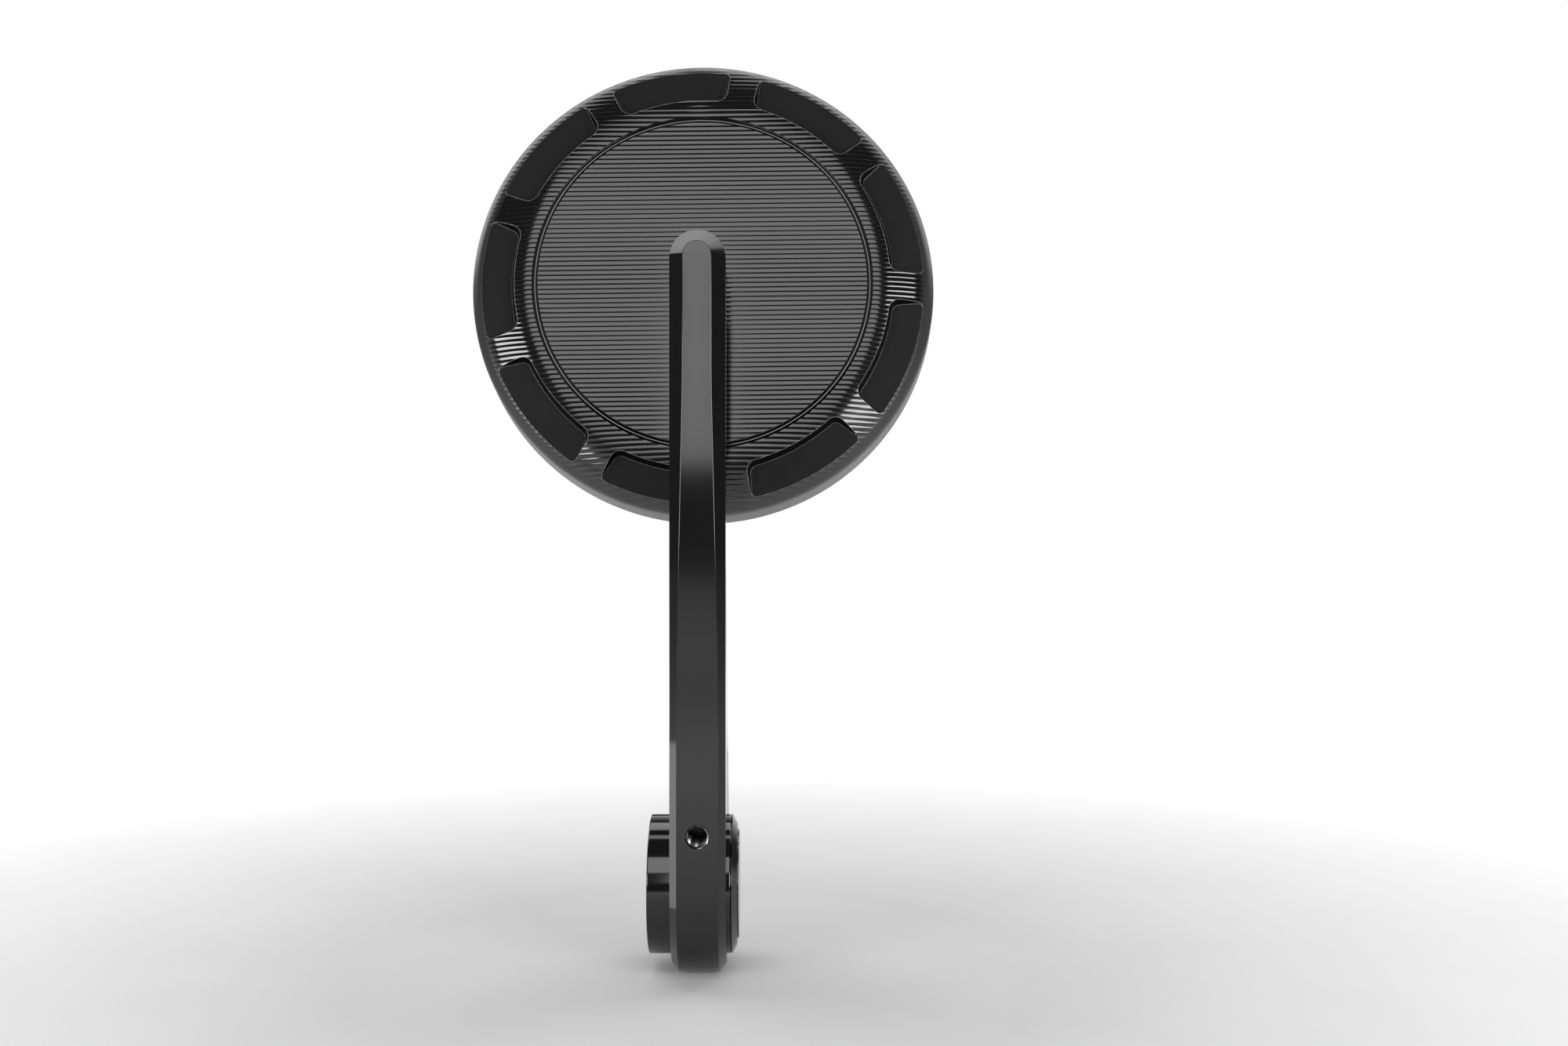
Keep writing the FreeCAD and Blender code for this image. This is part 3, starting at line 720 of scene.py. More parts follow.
# %% Lip of the housing
LIP_FACE = -5.016
LIP_RADIUS = 5.69
LIP_ROUND = 0.3
LIP_ROOT = BACK_PLANE + 2
lip = lathe("lip", rounded([
    (0, LIP_FACE, 0),
    (LIP_RADIUS, LIP_FACE, LIP_ROUND),
    (LIP_RADIUS, LIP_ROOT, 0),
    (0, LIP_ROOT, 0),
]), about_y, segments=64, place=head_place)
combine(housing, lip, "UNION", turned_black)

# %% Inside of the housing
SEAT_SPHERE = 6.0
SEAT_STEPS = 10
SEAT_END = 1.754
SOCKET_RADIUS = 8.65
HUB_RADIUS = 14.95
HUB_END = 6.6
HOLLOW_RADIUS = 41.05
HOLLOW_CORNER = 2.0
HOLLOW_FLOOR = BACK_PLANE + 3.0
GLASS_SEAT = 50.05
GLASS_LEDGE = 8.57
LEDGE_INNER = 43.05
BEVEL_START = 11.7
CUT_END = 14.0
LIP_OPENING = 4.168
LIP_FLARE = 0.35
lip_inner = -sqrt(SEAT_SPHERE**2 - LIP_OPENING**2)
seat_angle = atan2(-lip_inner, LIP_OPENING)
seat_turns = [seat_angle * step / SEAT_STEPS for step in range(SEAT_STEPS + 1)]
inside = lathe("inside", [
    (0, CUT_END),
    (GLASS_SEAT + CUT_END - BEVEL_START, CUT_END),
    (GLASS_SEAT, BEVEL_START),
    (GLASS_SEAT, GLASS_LEDGE),
    (LEDGE_INNER, GLASS_LEDGE),
    (HOLLOW_RADIUS, HOLLOW_FLOOR + HOLLOW_CORNER),
    (HOLLOW_RADIUS - HOLLOW_CORNER, HOLLOW_FLOOR),
    (HUB_RADIUS, HOLLOW_FLOOR),
    (HUB_RADIUS, HUB_END),
    (SOCKET_RADIUS, HUB_END),
    (SOCKET_RADIUS, SEAT_END),
    (SEAT_SPHERE, SEAT_END),
    *((SEAT_SPHERE * cos(turn), -SEAT_SPHERE * sin(turn)) for turn in seat_turns),
    (LIP_OPENING + LIP_FLARE, lip_inner - 2 * LIP_FLARE),
    (LIP_OPENING + 2 * LIP_FLARE, lip_inner - 4 * LIP_FLARE),
    (0, lip_inner - 4 * LIP_FLARE),
], about_y, segments=160, place=head_place)
combine(housing, inside, "DIFFERENCE", turned_black)

# %% Ring groove
GROOVE_RADIUS = 38.5
GROOVE_WIDTH = 1.5
GROOVE_FLOOR = 0.22
GROOVE_DEPTH = 0.65
GROOVE_ROUND = 0.05
GROOVE_OVERCUT = 0.5
FLOOR_FACING = 0.97
groove_inner = GROOVE_RADIUS - GROOVE_WIDTH / 2
groove_outer = GROOVE_RADIUS + GROOVE_WIDTH / 2
groove = lathe("groove", rounded([
    (groove_inner, BACK_PLANE - GROOVE_OVERCUT, 0),
    (groove_inner, BACK_PLANE, 0),
    (GROOVE_RADIUS - GROOVE_FLOOR / 2, BACK_PLANE + GROOVE_DEPTH, GROOVE_ROUND),
    (GROOVE_RADIUS + GROOVE_FLOOR / 2, BACK_PLANE + GROOVE_DEPTH, GROOVE_ROUND),
    (groove_outer, BACK_PLANE, 0),
    (groove_outer, BACK_PLANE - GROOVE_OVERCUT, 0),
], closed=True, steps=FINE_STEPS), about_y, segments=256, place=head_place, closed=True)


def finish_cutter(cutter, floor_finish, wall_finish):
    """Gives a cutter's level faces one finish, and its walls another."""
    cutter.data.materials.append(floor_finish)
    cutter.data.materials.append(wall_finish)
    for face in cutter.data.polygons:
        face.material_index = int(abs(face.normal.dot(head_axis)) < FLOOR_FACING)


finish_cutter(groove, bright_cut, turned_black)
combine(housing, groove, "DIFFERENCE")

# %% Pockets
POCKETS = 9
POCKET_FIRST = radians(19)
POCKET_INNER = 44.1
POCKET_OUTER = 51.35
LAND_INNER = 8.1
LAND_OUTER = 6.9
INNER_CORNER = 2.0
OUTER_CORNER = 1.2
INNER_STEPS = 8
OUTER_STEPS = 10
POCKET_FLOOR = BACK_PLANE + 3.05
POCKET_DRAFT = radians(18)
POCKET_OVERCUT = 1.5
FLOOR_FILLET = 0.3
# Each step of the fillet is its rise off the floor and its growth, as shares of the fillet.
FILLET_STEPS = ((0.0, -1.0), (0.1, -0.45), (0.45, -0.1), (1.0, 0.1))

half_step = pi / POCKETS


def pocket_arc(radius, land, corner, steps, way):
    """One long side of a pocket, which leaves half a land at each end; its ends have the corner's radius."""
    reach = half_step - asin(land / 2 / radius)
    arc = []
    for step in range(steps + 1):
        turn = way * reach * (2 * step / steps - 1)
        arc.append((radius * cos(turn), radius * sin(turn), corner if step in (0, steps) else 0))
    return arc


floor_loop = rounded(
    pocket_arc(POCKET_OUTER, LAND_OUTER, OUTER_CORNER, OUTER_STEPS, 1)
    + pocket_arc(POCKET_INNER, LAND_INNER, INNER_CORNER, INNER_STEPS, -1),
    closed=True, steps=FINE_STEPS)
wall_top = BACK_PLANE - POCKET_OVERCUT
levels = [(POCKET_FLOOR - rise * FLOOR_FILLET, growth * FLOOR_FILLET) for rise, growth in FILLET_STEPS]
levels.append((wall_top, (POCKET_FLOOR - wall_top) * tan(POCKET_DRAFT)))
cutter_rings = [[(p.x, level, p.y) for p in offset_loop(floor_loop, grow)] for level, grow in levels]
for number in range(POCKETS):
    turn = Matrix.Rotation(-POCKET_FIRST - 2 * half_step * number, 4, "Y")
    pocket = loft("pocket", cutter_rings, head_place @ turn)
    finish_cutter(pocket, pocket_black, wall_black)
    combine(housing, pocket, "DIFFERENCE")
finish_piece(housing, "head", "mirror_housing", CREST_ANGLE)

# %% [markdown]
# ## The arm
# The arm is milled from one bar: a flat blade with wide chamfers on its long edges, a round tip, and an eye
# at the foot that carries the clamp bore. A box with bevelled edges would not follow the taper and the eye,
# so the mesh is a chamfered section that follows the arm's outline down the front, round the eye, and up
# the rear, with a half turn of the same section as the tip.
# %% Sizes of the arm
HALF_WIDTH = 6.0
EDGE_WIDTH = 1.6
EDGE_DEPTH = 1.9
EDGE_ROUND = 0.2
EYE_RADIUS = -arm_low.z
FRONT_LOW = -EYE_RADIUS
FRONT_HIGH = arm_low.y
ARM_REAR = nut_low.y
TAPER_FOOT = 45.0
TAPER_TOP = 115.0
TAPER_BLEND = 5.0
FLARE_START = 67.0
TIP_HEIGHT = arm_high.z - HALF_WIDTH
EDGE_START = FRONT_LOW + EDGE_DEPTH

taper_lean = atan2(FRONT_LOW - FRONT_HIGH, TAPER_TOP - TAPER_FOOT - 2 * TAPER_BLEND)
blend_round = TAPER_BLEND / tan(taper_lean / 2)
blend_climb = blend_round * sin(taper_lean)
blend_sink = blend_round * (1 - cos(taper_lean))
flare_angle = atan2(FLARE_START, ARM_REAR) - acos(EYE_RADIUS / hypot(FLARE_START, ARM_REAR))
print("tip at", round(TIP_HEIGHT, 2), "taper leans", round(degrees(taper_lean), 2), "degrees")


def front_at(height):
    """Where the arm's front face is at this height: a straight, a blend, the taper, a blend, a straight."""
    above = height - TAPER_FOOT
    below = TAPER_TOP - height
    if above <= 0:
        return FRONT_LOW
    if below <= 0:
        return FRONT_HIGH
    if above < blend_climb:
        return FRONT_LOW - blend_round + sqrt(blend_round**2 - above**2)
    if below < blend_climb:
        return FRONT_HIGH + blend_round - sqrt(blend_round**2 - below**2)
    return FRONT_LOW - blend_sink - (above - blend_climb) * tan(taper_lean)


# %% Section and outline of the arm
def half_section(depth):
    """From the middle of a face to the arm's side: (distance from the middle, depth below the face)."""
    face_half = HALF_WIDTH - depth * EDGE_WIDTH / EDGE_DEPTH
    beyond = depth + EDGE_DEPTH
    return rounded([
        (0, 0, 0),
        (face_half, 0, EDGE_ROUND),
        (HALF_WIDTH, depth, EDGE_ROUND),
        (HALF_WIDTH, beyond, 0),
    ])[:-1]


BLEND_STEPS = 6
EYE_STEP = radians(3)
outline = []
blend_shares = [step / BLEND_STEPS for step in range(BLEND_STEPS + 1)]
heights = [TIP_HEIGHT]
heights += [TAPER_TOP - blend_climb * share for share in blend_shares]
heights += [TAPER_FOOT + blend_climb * (1 - share) for share in blend_shares]
heights.append(0.0)
for height in heights:
    front = front_at(height)
    outline.append((Vector((front, height)), Vector((1.0, 0.0)), EDGE_START - front))
eye_turn = pi + flare_angle
eye_steps = ceil(eye_turn / EYE_STEP)
for step in range(1, eye_steps + 1):
    angle = pi + eye_turn * step / eye_steps
    way = Vector((cos(angle), sin(angle)))
    outline.append((way * EYE_RADIUS, -way, EDGE_DEPTH))
flare_way = Vector((cos(flare_angle), sin(flare_angle)))
mitre = (Vector((-1.0, 0.0)) - flare_way).normalized()
mitre /= -mitre.dot(flare_way)
outline.append((Vector((ARM_REAR, FLARE_START)), mitre, EDGE_DEPTH))
outline.append((Vector((ARM_REAR, TIP_HEIGHT)), Vector((-1.0, 0.0)), EDGE_DEPTH))
print("arm outline:", len(outline), "stations")

# %% Arm as a solid
points = []
strips = []
for place, inward, depth in outline:
    right = half_section(depth)
    across = [(-u, d) for u, d in reversed(right[1:])] + [(u, d) for u, d in right]
    strips.append(range(len(points), len(points) + len(across)))
    points.extend(Vector((u, place.x + inward.x * d, place.y + inward.y * d)) for u, d in across)
faces = []
for upper, lower in zip(strips, strips[1:]):
    for index in range(len(upper) - 1):
        faces.append((upper[index], upper[index + 1], lower[index + 1], lower[index]))
for end in (0, -1):
    faces.append(tuple(strip[end] for strip in strips))
TIP_STEPS = 40
front_half = [(u, FRONT_HIGH + d) for u, d in half_section(EDGE_START - FRONT_HIGH)]
rear_half = [(u, ARM_REAR - d) for u, d in half_section(EDGE_DEPTH)]
tip_section = front_half + rear_half[::-1]
for step in range(TIP_STEPS + 1):
    angle = pi * step / TIP_STEPS
    start = len(points)
    points.extend(Vector((u * cos(angle), y, TIP_HEIGHT + u * sin(angle))) for u, y in tip_section)
    if step:
        size = len(tip_section)
        for index in range(size - 1):
            faces.append((start + index, start + index + 1, start + index + 1 - size, start + index - size))
arm = mesh_object("arm_body", points, faces)
arm.data.materials.append(arm_black)
print("arm:", len(arm.data.polygons), "faces")

# %% [markdown]
# ## Bosses, bore and holes of the eye
# A turned boss stands on each side of the eye, and the bore goes through both. A slot from the bore towards
# the arm lets the eye close, and the pinch screw crosses it. The slot, the bore and the holes are cut with
# solids of their own shape, as the drill and the saw would leave them. The front hole has a real thread,
# since its turns are seen.
# %% Bosses and bore of the eye
BOSS_RADIUS = 15.2
BOSS_BREAK = 0.3
BOSS_ROOT = 3.0
CAP_SEAT = 7.0
CAP_SPIGOT = 12.4
SPIGOT_SEAT = 4.6
FIT = 0.05
BORE_MOUTH = 0.6
OVERCUT = 1.0
for name, inner, outer in (("boss_bar", -BOSS_ROOT, arm_low.x), ("boss_cap", BOSS_ROOT, CAP_SEAT)):
    boss = lathe(name, rounded([
        (0, inner, 0),
        (BOSS_RADIUS, inner, 0),
        (BOSS_RADIUS, outer, BOSS_BREAK),
        (0, outer, 0),
    ]), about_x, segments=160)
    combine(arm, boss, "UNION", turned_black)
bore = lathe("bore", [
    (0, arm_low.x - OVERCUT),
    (bore_radius + BORE_MOUTH + OVERCUT, arm_low.x - OVERCUT),
    (bore_radius, arm_low.x + BORE_MOUTH),
    (bore_radius, SPIGOT_SEAT - FIT),
    (CAP_SPIGOT + FIT, SPIGOT_SEAT - FIT),
    (CAP_SPIGOT + FIT, CAP_SEAT + OVERCUT),
    (0, CAP_SEAT + OVERCUT),
], about_x, segments=128)
combine(arm, bore, "DIFFERENCE", turned_black)

# %% Slot of the clamp
SLOT_HALF = 0.8
SLOT_FOOT = 5.0
SLOT_TOP = 28.0
SLOT_BAR_SIDE = -HALF_WIDTH - 8
SLOT_CAP_SIDE = HALF_WIDTH + 0.5
RELIEF = 2.0
RELIEF_STEPS = 24
relief_angle = asin(SLOT_HALF / RELIEF)
slot_loop = [Vector((SLOT_HALF, SLOT_FOOT))]
for step in range(RELIEF_STEPS + 1):
    angle = -pi / 2 + relief_angle + (2 * pi - 2 * relief_angle) * step / RELIEF_STEPS
    slot_loop.append(Vector((RELIEF * cos(angle), SLOT_TOP + RELIEF * sin(angle))))
slot_loop.append(Vector((-SLOT_HALF, SLOT_FOOT)))
slot = loft("slot", [[(x, p.x, p.y) for p in slot_loop] for x in (SLOT_BAR_SIDE, SLOT_CAP_SIDE)])
combine(arm, slot, "DIFFERENCE", arm_black)

# %% Threaded rods
FLANK_START = 1.25
FLANK_SLOPE = 3.2
ROWS_PER_PITCH = 8
ROD_SEGMENTS = 40


def threaded(name, start, end, radius, depth, pitch, centre, chamfer=0.0):
    """A rod along Y with a screw thread, from start to end."""
    count = ceil((end - start) / pitch * ROWS_PER_PITCH)
    rings = []
    for step in range(count + 1):
        along = start + (end - start) * step / count
        ring = []
        for turn in range(ROD_SEGMENTS):
            angle = 2 * pi * turn / ROD_SEGMENTS
            share = ((along - start) / pitch - turn / ROD_SEGMENTS) % 1.0
            crest = limited(FLANK_START - abs(share - 0.5) * FLANK_SLOPE)
            here = radius - depth + depth * crest
            limit = radius - max(chamfer - (end - along), chamfer - (along - start), 0.0)
            ring.append(centre + about_y(min(here, limit), along, angle))
        rings.append(ring)
    return loft(name, rings)


# %% Holes for the pinch screw
SCREW_HEIGHT = (screw_low.z + screw_high.z) / 2
SCREW_RADIUS = 2.5
SCREW_CLEARANCE = 0.2
THREAD_PITCH = 0.8
THREAD_DEPTH = 0.43
THREAD_END = -2.0
SHAFT_START = -3.0
HEAD_SEAT = 7.7
COUNTERBORE = 4.6
REAR_OVERCUT = 4.0
MOUTH_CONE = 0.06
MOUTH_SINK = 0.5
pinch_line = Vector((0, 0, SCREW_HEIGHT))
pinch_place = Matrix.Translation(pinch_line)
pinch_hole = threaded("pinch_hole", FRONT_LOW - OVERCUT, THREAD_END, SCREW_RADIUS + FIT, THREAD_DEPTH,
                      THREAD_PITCH, pinch_line)
combine(arm, pinch_hole, "DIFFERENCE", bare_thread)
shaft_hole = lathe("shaft_hole", [
    (0, SHAFT_START),
    (SCREW_RADIUS + SCREW_CLEARANCE, SHAFT_START),
    (SCREW_RADIUS + SCREW_CLEARANCE, HEAD_SEAT),
    (COUNTERBORE, HEAD_SEAT),
    (COUNTERBORE, EYE_RADIUS + REAR_OVERCUT),
    (0, EYE_RADIUS + REAR_OVERCUT),
], about_y, segments=64, place=pinch_place)
combine(arm, shaft_hole, "DIFFERENCE", arm_black)
mouth = lathe("mouth", [
    (0, FRONT_LOW - OVERCUT),
    (SCREW_RADIUS + MOUTH_CONE + OVERCUT, FRONT_LOW - OVERCUT),
    (SCREW_RADIUS - MOUTH_SINK, FRONT_LOW + MOUTH_CONE + MOUTH_SINK),
    (0, FRONT_LOW + MOUTH_CONE + MOUTH_SINK),
], about_y, segments=64, place=pinch_place)
combine(arm, mouth, "DIFFERENCE", arm_black)

# %% Hole for the stud
STUD_RADIUS = 3.0
STUD_DEPTH = 8.5
stud_line = Vector((0, 0, ball.z))
stud_place = Matrix.Translation(stud_line)


def round_hole(name, start, end):
    """A cutter for the stud, along Y."""
    radius = STUD_RADIUS + FIT
    profile = [(0, start), (radius, start), (radius, end), (0, end)]
    return lathe(name, profile, about_y, segments=48, place=stud_place)


combine(arm, round_hole("stud_hole", ARM_REAR - STUD_DEPTH, ARM_REAR + OVERCUT), "DIFFERENCE", arm_black)
finish_piece(arm, "root", "arm")

# %% [markdown]
# ## End cap
# A turned plug closes the outer end of the bore. Its rim has a wide chamfer, and its face a low raised disc.
# Every face is round about one axis, so the whole cap is one profile on the lathe.
# %% End cap
CAP_CHAMFER = 1.1
CAP_CHAMFER_SIDE = 2.0
DISC_RADIUS = 12.0
DISC_HEIGHT = 0.35
SPIGOT_ROUND = 0.3
RIM_BREAK = 0.1
FACE_BREAK = 0.15
DISC_ROOT = 0.05
cap_face = cap_high.x - DISC_HEIGHT
cap = lathe("end_cap_piece", rounded([
    (0, cap_low.x, 0),
    (CAP_SPIGOT, cap_low.x, SPIGOT_ROUND),
    (CAP_SPIGOT, CAP_SEAT, 0),
    (BOSS_RADIUS, CAP_SEAT, RIM_BREAK),
    (BOSS_RADIUS, cap_face - CAP_CHAMFER, RIM_BREAK),
    (BOSS_RADIUS - CAP_CHAMFER_SIDE, cap_face, FACE_BREAK),
    (DISC_RADIUS, cap_face, DISC_ROOT),
    (DISC_RADIUS, cap_high.x, FACE_BREAK),
    (0, cap_high.x, 0),
]), about_x, segments=160)
cap.data.materials.append(turned_black)
finish_piece(cap, "root", "end_cap")

# %% [markdown]
# ## Screw, stud and lock nut
# The pinch screw is a socket-head screw with a rolled thread, seen at the rear and, deep in the front hole,
# by its end. The stud is turned with a ball, a neck and a threaded shank, and the thin nut locks it. A bump
# would leave a thread's outline smooth, so each thread is a rod whose rings swell and shrink along the
# helix.
# %% Pinch screw
HEAD_RADIUS = 4.25
HEAD_ROOT = 0.1
HEAD_ROUND = 0.4
HEAD_OVERLAP = 0.5
SCREW_CHAMFER = 0.5
HEX_HALF = 2.0
SOCKET_DEPTH = 2.5


def hexagon_rod(name, flat_half, start, end, line, first_angle=0.0):
    """A six-sided rod along Y, with this distance from its axis to each flat."""
    radius = flat_half / cos(pi / 6)
    corners = [about_y(radius, 0, first_angle + pi / 3 * corner) + line for corner in range(6)]
    return loft(name, [[corner + Vector((0, along, 0)) for corner in corners] for along in (start, end)])


screw = threaded("pinch_screw_piece", screw_low.y, HEAD_SEAT + HEAD_OVERLAP, SCREW_RADIUS, THREAD_DEPTH,
                 THREAD_PITCH, pinch_line, SCREW_CHAMFER)
screw.data.materials.append(screw_black)
head = lathe("screw_head", rounded([
    (0, HEAD_SEAT, 0),
    (HEAD_RADIUS, HEAD_SEAT, HEAD_ROOT),
    (HEAD_RADIUS, screw_high.y, HEAD_ROUND),
    (0, screw_high.y, 0),
]), about_y, segments=72, place=pinch_place)
combine(screw, head, "UNION", screw_black)
socket = hexagon_rod("hex_socket", HEX_HALF, screw_high.y - SOCKET_DEPTH, screw_high.y + OVERCUT, pinch_line)
combine(screw, socket, "DIFFERENCE", screw_black)
finish_piece(screw, "root", "pinch_screw")

# %% Ball stud
BALL_RADIUS = 5.0
BALL_STEPS = 24
NECK_RADIUS = 2.2
NECK_END = 7.2
NECK_TAPER = 1.6
STUD_PITCH = 1.0
STUD_THREAD = 0.5
STUD_CHAMFER = 0.6
POINT_LENGTH = 0.8
KNOB_OVERLAP = 0.2
stud_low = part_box("ball_stud")[0] / MM
shank_end = -NECK_END - NECK_TAPER
stud = threaded("ball_stud_piece", stud_low.y + POINT_LENGTH, ball.y + shank_end + KNOB_OVERLAP, STUD_RADIUS,
                STUD_THREAD, STUD_PITCH, stud_line, STUD_CHAMFER)
stud.data.materials.append(zinc)
neck_angle = asin(NECK_RADIUS / BALL_RADIUS)
ball_turns = [neck_angle + (pi - neck_angle) * step / BALL_STEPS for step in range(BALL_STEPS)]
knob = lathe("knob", [
    (0, shank_end),
    (STUD_RADIUS - KNOB_OVERLAP, shank_end),
    (NECK_RADIUS, -NECK_END),
    *((BALL_RADIUS * sin(turn), -BALL_RADIUS * cos(turn)) for turn in ball_turns),
    (0, BALL_RADIUS),
], about_y, segments=64, place=Matrix.Translation(ball))
combine(stud, knob, "UNION", zinc)
finish_piece(stud, "root", "ball_stud")

# %% Lock nut
NUT_BREAK = 0.7
CONE_SINK = 0.3
CONE_RISE = 0.2
nut_size = nut_high - nut_low
nut_flat = min(nut_size.x, nut_size.z) / 2
nut_radius = nut_flat / cos(pi / 6)
first_angle = 0.0 if nut_size.x > nut_size.z else pi / 6
nut = hexagon_rod("lock_nut_piece", nut_flat, nut_low.y, nut_high.y, stud_line, first_angle)
nut.data.materials.append(screw_black)
nut_cone = lathe("nut_cone", [
    (0, nut_low.y - OVERCUT),
    (nut_radius + OVERCUT, nut_low.y - OVERCUT),
    (nut_radius + OVERCUT, nut_high.y - NUT_BREAK - CONE_RISE),
    (nut_flat - CONE_SINK, nut_high.y + CONE_RISE),
    (0, nut_high.y + CONE_RISE),
], about_y, segments=72, place=stud_place)
combine(nut, nut_cone, "INTERSECT", screw_black)
nut_hole = round_hole("nut_hole", nut_low.y - OVERCUT, nut_high.y + OVERCUT)
combine(nut, nut_hole, "DIFFERENCE", screw_black)
finish_piece(nut, "root", "stud_lock_nut")

# %% [markdown]
# ## Pieces that keep their CAD mesh
# The glass, its tape and the inside of the ball joint are plain turned shapes that the CAD mesh already
# shows well, so they only take their finishes.
# %% Finishes of the CAD pieces
cad_finishes = {
    "ball_seat_ring": nylon,
    "ball_seat_cup": nylon,
    "thrust_plate": zinc,
    "disc_spring": spring,
    "retainer_plate": zinc,
    "retainer_screws": screw_black,
    "glass_tape": foam,
    "mirror_glass": silver,
}
for node, material in cad_finishes.items():
    mesh = frame["nodes"][node].data
    mesh.materials.clear()
    mesh.materials.append(material)
print("finished CAD pieces:", len(cad_finishes))

# %% [markdown]
# ## Studio
# The mirror stands upright on its eye on a pale floor, before a white background. The floor is lit paper,
# and away from the part it glows up to white, so that it has no visible end. Reflections see the same glow,
# but weaker, and least to the sides, as in a room that is darker beside the table.
# %% Floor
FLOOR_WIDTH = 6.0
FLOOR_FRONT = -1.0
FLOOR_BACK = 3.0
PAPER_DARK = 0.5
PAPER_LIGHT = 0.54
PAPER_ROUGHNESS = 0.9
GLOW_START = 0.08
GLOW_END = 0.48
NEAR_WHITE = 0.05
FAR_WHITE = 0.95
FRONT_SHARE = 0.65
SIDE_SHARE = 0.15
SIDE_START = 0.5
SIDE_END = 0.9
WHITE = (1.0, 1.0, 1.0, 1.0)
floor_level = cad_box[0][2]
floor_mesh = bpy.data.meshes.new("floor")
floor_corners = [(x * FLOOR_WIDTH / 2, y, floor_level) for x, y in
                 ((-1, FLOOR_FRONT), (1, FLOOR_FRONT), (1, FLOOR_BACK), (-1, FLOOR_BACK))]
floor_mesh.from_pydata(floor_corners, [], [(0, 1, 2, 3)])
floor = bpy.data.objects.new("floor", floor_mesh)
bpy.context.scene.collection.objects.link(floor)
paper = bpy.data.materials.new("white_paper")
paper.use_nodes = True
tree = paper.node_tree
shader = shader_of(paper)
where = rest_place(tree)
fibre = add(tree, "ShaderNodeTexNoise", Scale=40.0)
tree.links.new(where, fibre.inputs["Vector"])
paper_shade = ramp(tree, fibre.outputs["Fac"], low=0.0, high=1.0, to_low=PAPER_DARK, to_high=PAPER_LIGHT)
tree.links.new(paper_shade, shader.inputs["Base Color"])
shader.inputs["Roughness"].default_value = PAPER_ROUGHNESS
far = add(tree, "ShaderNodeVectorMath", operation="LENGTH")
tree.links.new(where, far.inputs[0])
place = add(tree, "ShaderNodeSeparateXYZ")
tree.links.new(where, place.inputs["Vector"])
aside = math_node(tree, "ABSOLUTE", place.outputs["X"])
aside = math_node(tree, "DIVIDE", aside, far.outputs["Value"])
share = ramp(tree, aside, SIDE_START, SIDE_END, FRONT_SHARE, SIDE_SHARE)
path = add(tree, "ShaderNodeLightPath")
through = math_node(tree, "MAXIMUM", path.outputs["Is Glossy Ray"], path.outputs["Is Transmission Ray"])
through = math_node(tree, "MULTIPLY", through, share)
seen = math_node(tree, "MAXIMUM", path.outputs["Is Camera Ray"], through)
glow = ramp(tree, far.outputs["Value"], GLOW_START, GLOW_END, NEAR_WHITE, FAR_WHITE)
shader.inputs["Emission Color"].default_value = WHITE
tree.links.new(math_node(tree, "MULTIPLY", seen, glow), shader.inputs["Emission Strength"])
floor.data.materials.append(paper)
print("floor at", round(floor_level, 4), "m")

# %% World
FRONT_LEVEL = 0.1
BACK_START = 0.75
BACK_END = 0.95
AMBIENT = 0.1
world = bpy.data.worlds.new("studio")
bpy.context.scene.world = world
world.use_nodes = True
tree = world.node_tree
background = tree.nodes["Background"]
path = add(tree, "ShaderNodeLightPath")
direction = add(tree, "ShaderNodeSeparateXYZ")
tree.links.new(add(tree, "ShaderNodeTexCoord").outputs["Generated"], direction.inputs["Vector"])
behind = ramp(tree, direction.outputs["Y"], BACK_START, BACK_END, FRONT_LEVEL, 1.0)
through = math_node(tree, "MAXIMUM", path.outputs["Is Glossy Ray"], path.outputs["Is Transmission Ray"])
level = math_node(tree, "MULTIPLY", behind, through)
level = math_node(tree, "ADD", level, path.outputs["Is Camera Ray"])
level = math_node(tree, "ADD", level, math_node(tree, "MULTIPLY", path.outputs["Is Diffuse Ray"], AMBIENT))
tree.links.new(level, background.inputs["Strength"])
background.inputs["Color"].default_value = WHITE
print("world:", world.name)

# %% [markdown]
# ## Lamps
# A black glossy part shows what it reflects, so each lamp is placed for the faces that look at it. A soft
# box tilted above the camera draws the light line in each hollow of the ridges, with a narrow panel below
# it for the arm's front. Two strips at the sides light the lands between the pockets. Panels overhead and on
# both sides behind shape the rim and the tops, and a small card lights the left chamfer at the foot.
# %% Lamps
def panel(name, centre, look_at, width, height, radiance, spread=pi):
    """A soft panel light whose surface has about this radiance."""
    data = bpy.data.lights.new(name, "AREA")
    data.shape = "RECTANGLE"
    data.size = width
    data.size_y = height
    data.energy = radiance * pi * width * height
    data.spread = spread
    lamp = bpy.data.objects.new(name, data)
    lamp.location = centre
    lamp.rotation_euler = (Vector(look_at) - Vector(centre)).to_track_quat("-Z", "Y").to_euler()
    lamp.visible_camera = False
    bpy.context.scene.collection.objects.link(lamp)
    return lamp


def head_panel(name, azimuth, elevation, width, height, radiance):
    """A panel that faces the head, placed by its direction from it: azimuth from the front to the right."""
    turn = radians(azimuth)
    rise = radians(elevation)
    way = Vector((sin(turn) * cos(rise), -cos(turn) * cos(rise), sin(rise)))
    target = ball * MM
    return panel(name, target + way * STRIP_DISTANCE, target, width, height, radiance)


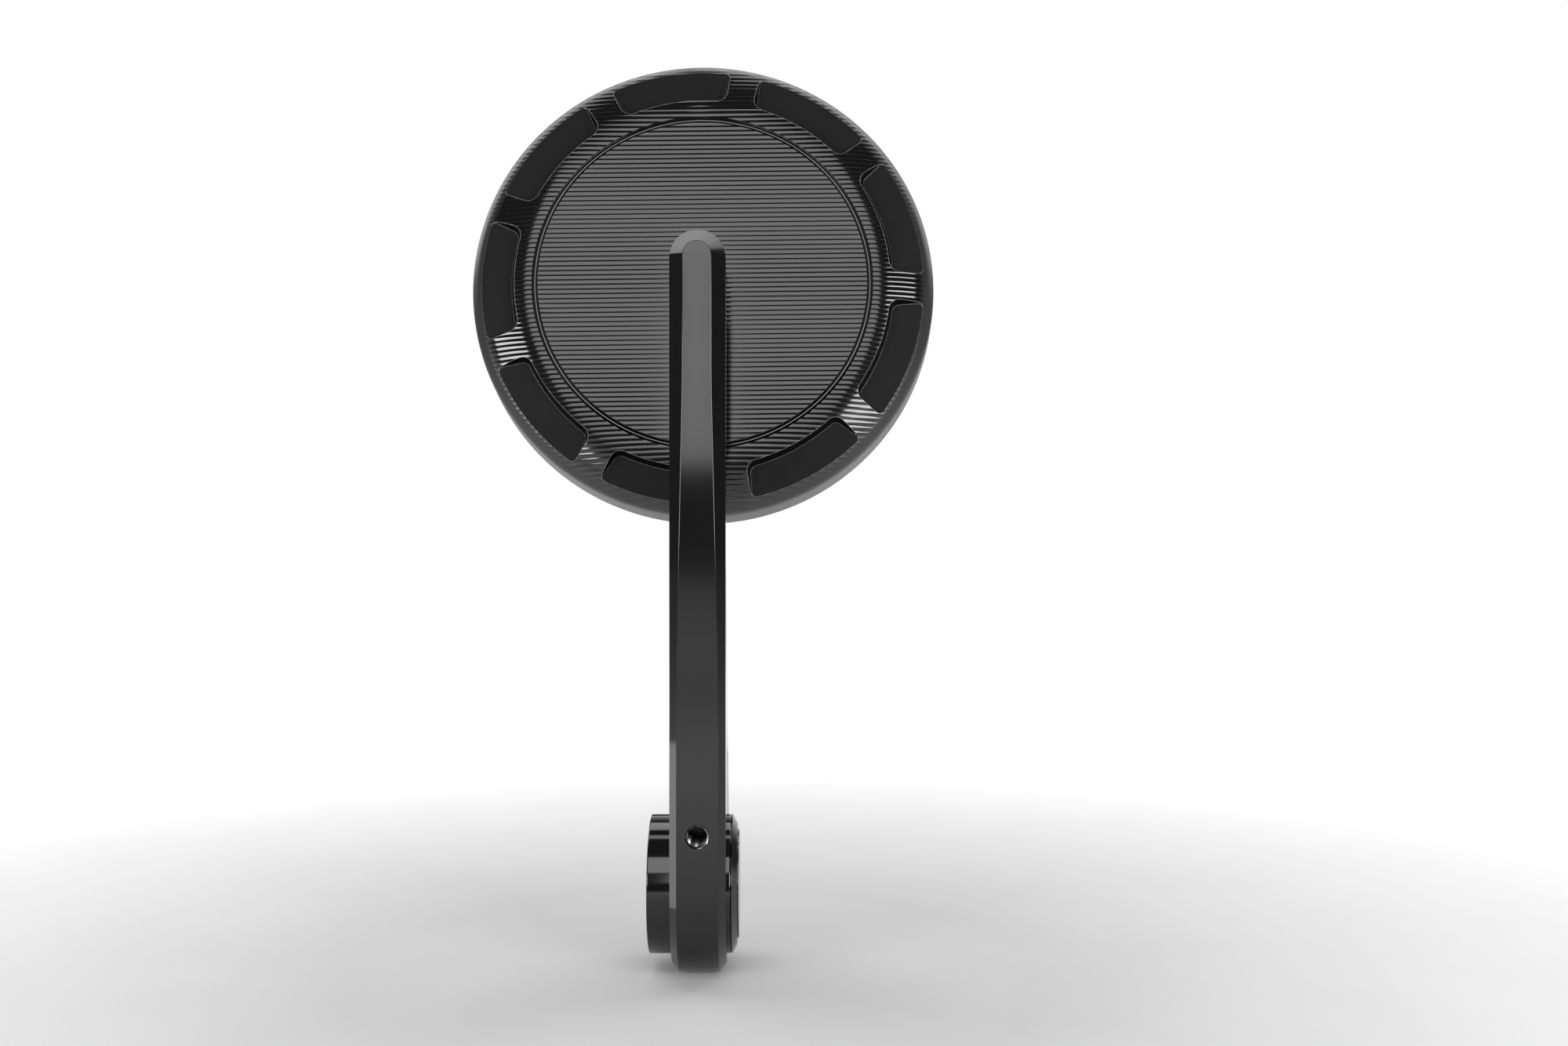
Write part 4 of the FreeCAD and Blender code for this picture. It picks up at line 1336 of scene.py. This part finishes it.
SOFTBOX_LEVEL = 2.8
STRIP_DISTANCE = 0.5
STRIP_LEVEL = 11.5
WALL_Y = 0.35
WALL_Z = 0.495
WALL_X = 0.5
WALL_WIDTH = 0.5
WALL_HEIGHT = 0.41
panel("front_low", centre=(-0.0168, -0.39, 0.142), look_at=(-0.0168, 0.0, 0.142),
      width=0.027, height=0.11, radiance=SOFTBOX_LEVEL)
panel("front_high", centre=(-0.0125, -0.2875, 0.255), look_at=(-0.0125, -0.1377, 0.1225),
      width=0.22, height=0.174, radiance=SOFTBOX_LEVEL)
panel("top_panel", centre=(0.0, 0.3, 0.7), look_at=(0.0, 0.3, 0.0), width=1.0, height=0.6, radiance=2.2)
for name, side, radiance in (("left_wall", -WALL_X, 2.4), ("right_wall", WALL_X, 1.8)):
    panel(name, (side, WALL_Y, WALL_Z), (0.0, WALL_Y, WALL_Z), WALL_WIDTH, WALL_HEIGHT, radiance)
head_panel("left_strip", azimuth=-43.5, elevation=-2.5, width=0.28, height=0.13, radiance=STRIP_LEVEL)
head_panel("right_strip", azimuth=38.5, elevation=-0.5, width=0.28, height=0.16, radiance=STRIP_LEVEL)
panel("left_card", centre=(-0.06, -0.008, 0.004), look_at=(0.0, -0.02, 0.004),
      width=0.06, height=0.044, radiance=0.22, spread=radians(60))

# %% [markdown]
# ## Camera and the end of the build
# The camera looks level at the mirror's back, a little to the right of the arm, from the distance that the
# outlines of the head and the eye fit. The CAD's size is then printed.
# %% Camera
CAMERA_PLACE = (0.015, -0.351, 0.0805)
CAMERA_TURN = radians(-0.59)
LENS = 36.0
SENSOR_WIDTH = 36.0
camera_data = bpy.data.cameras.new("camera")
camera_data.lens = LENS
camera_data.sensor_width = SENSOR_WIDTH
camera = bpy.data.objects.new("camera", camera_data)
camera.location = CAMERA_PLACE
camera.rotation_euler = (pi / 2, 0.0, CAMERA_TURN)
bpy.context.scene.collection.objects.link(camera)
bpy.context.scene.camera = camera
bpy.context.scene.view_settings.view_transform = "Standard"
print("camera at", CAMERA_PLACE)

# %% CAD size
print("CAD box", [[round(v, 4) for v in c] for c in cad_box])
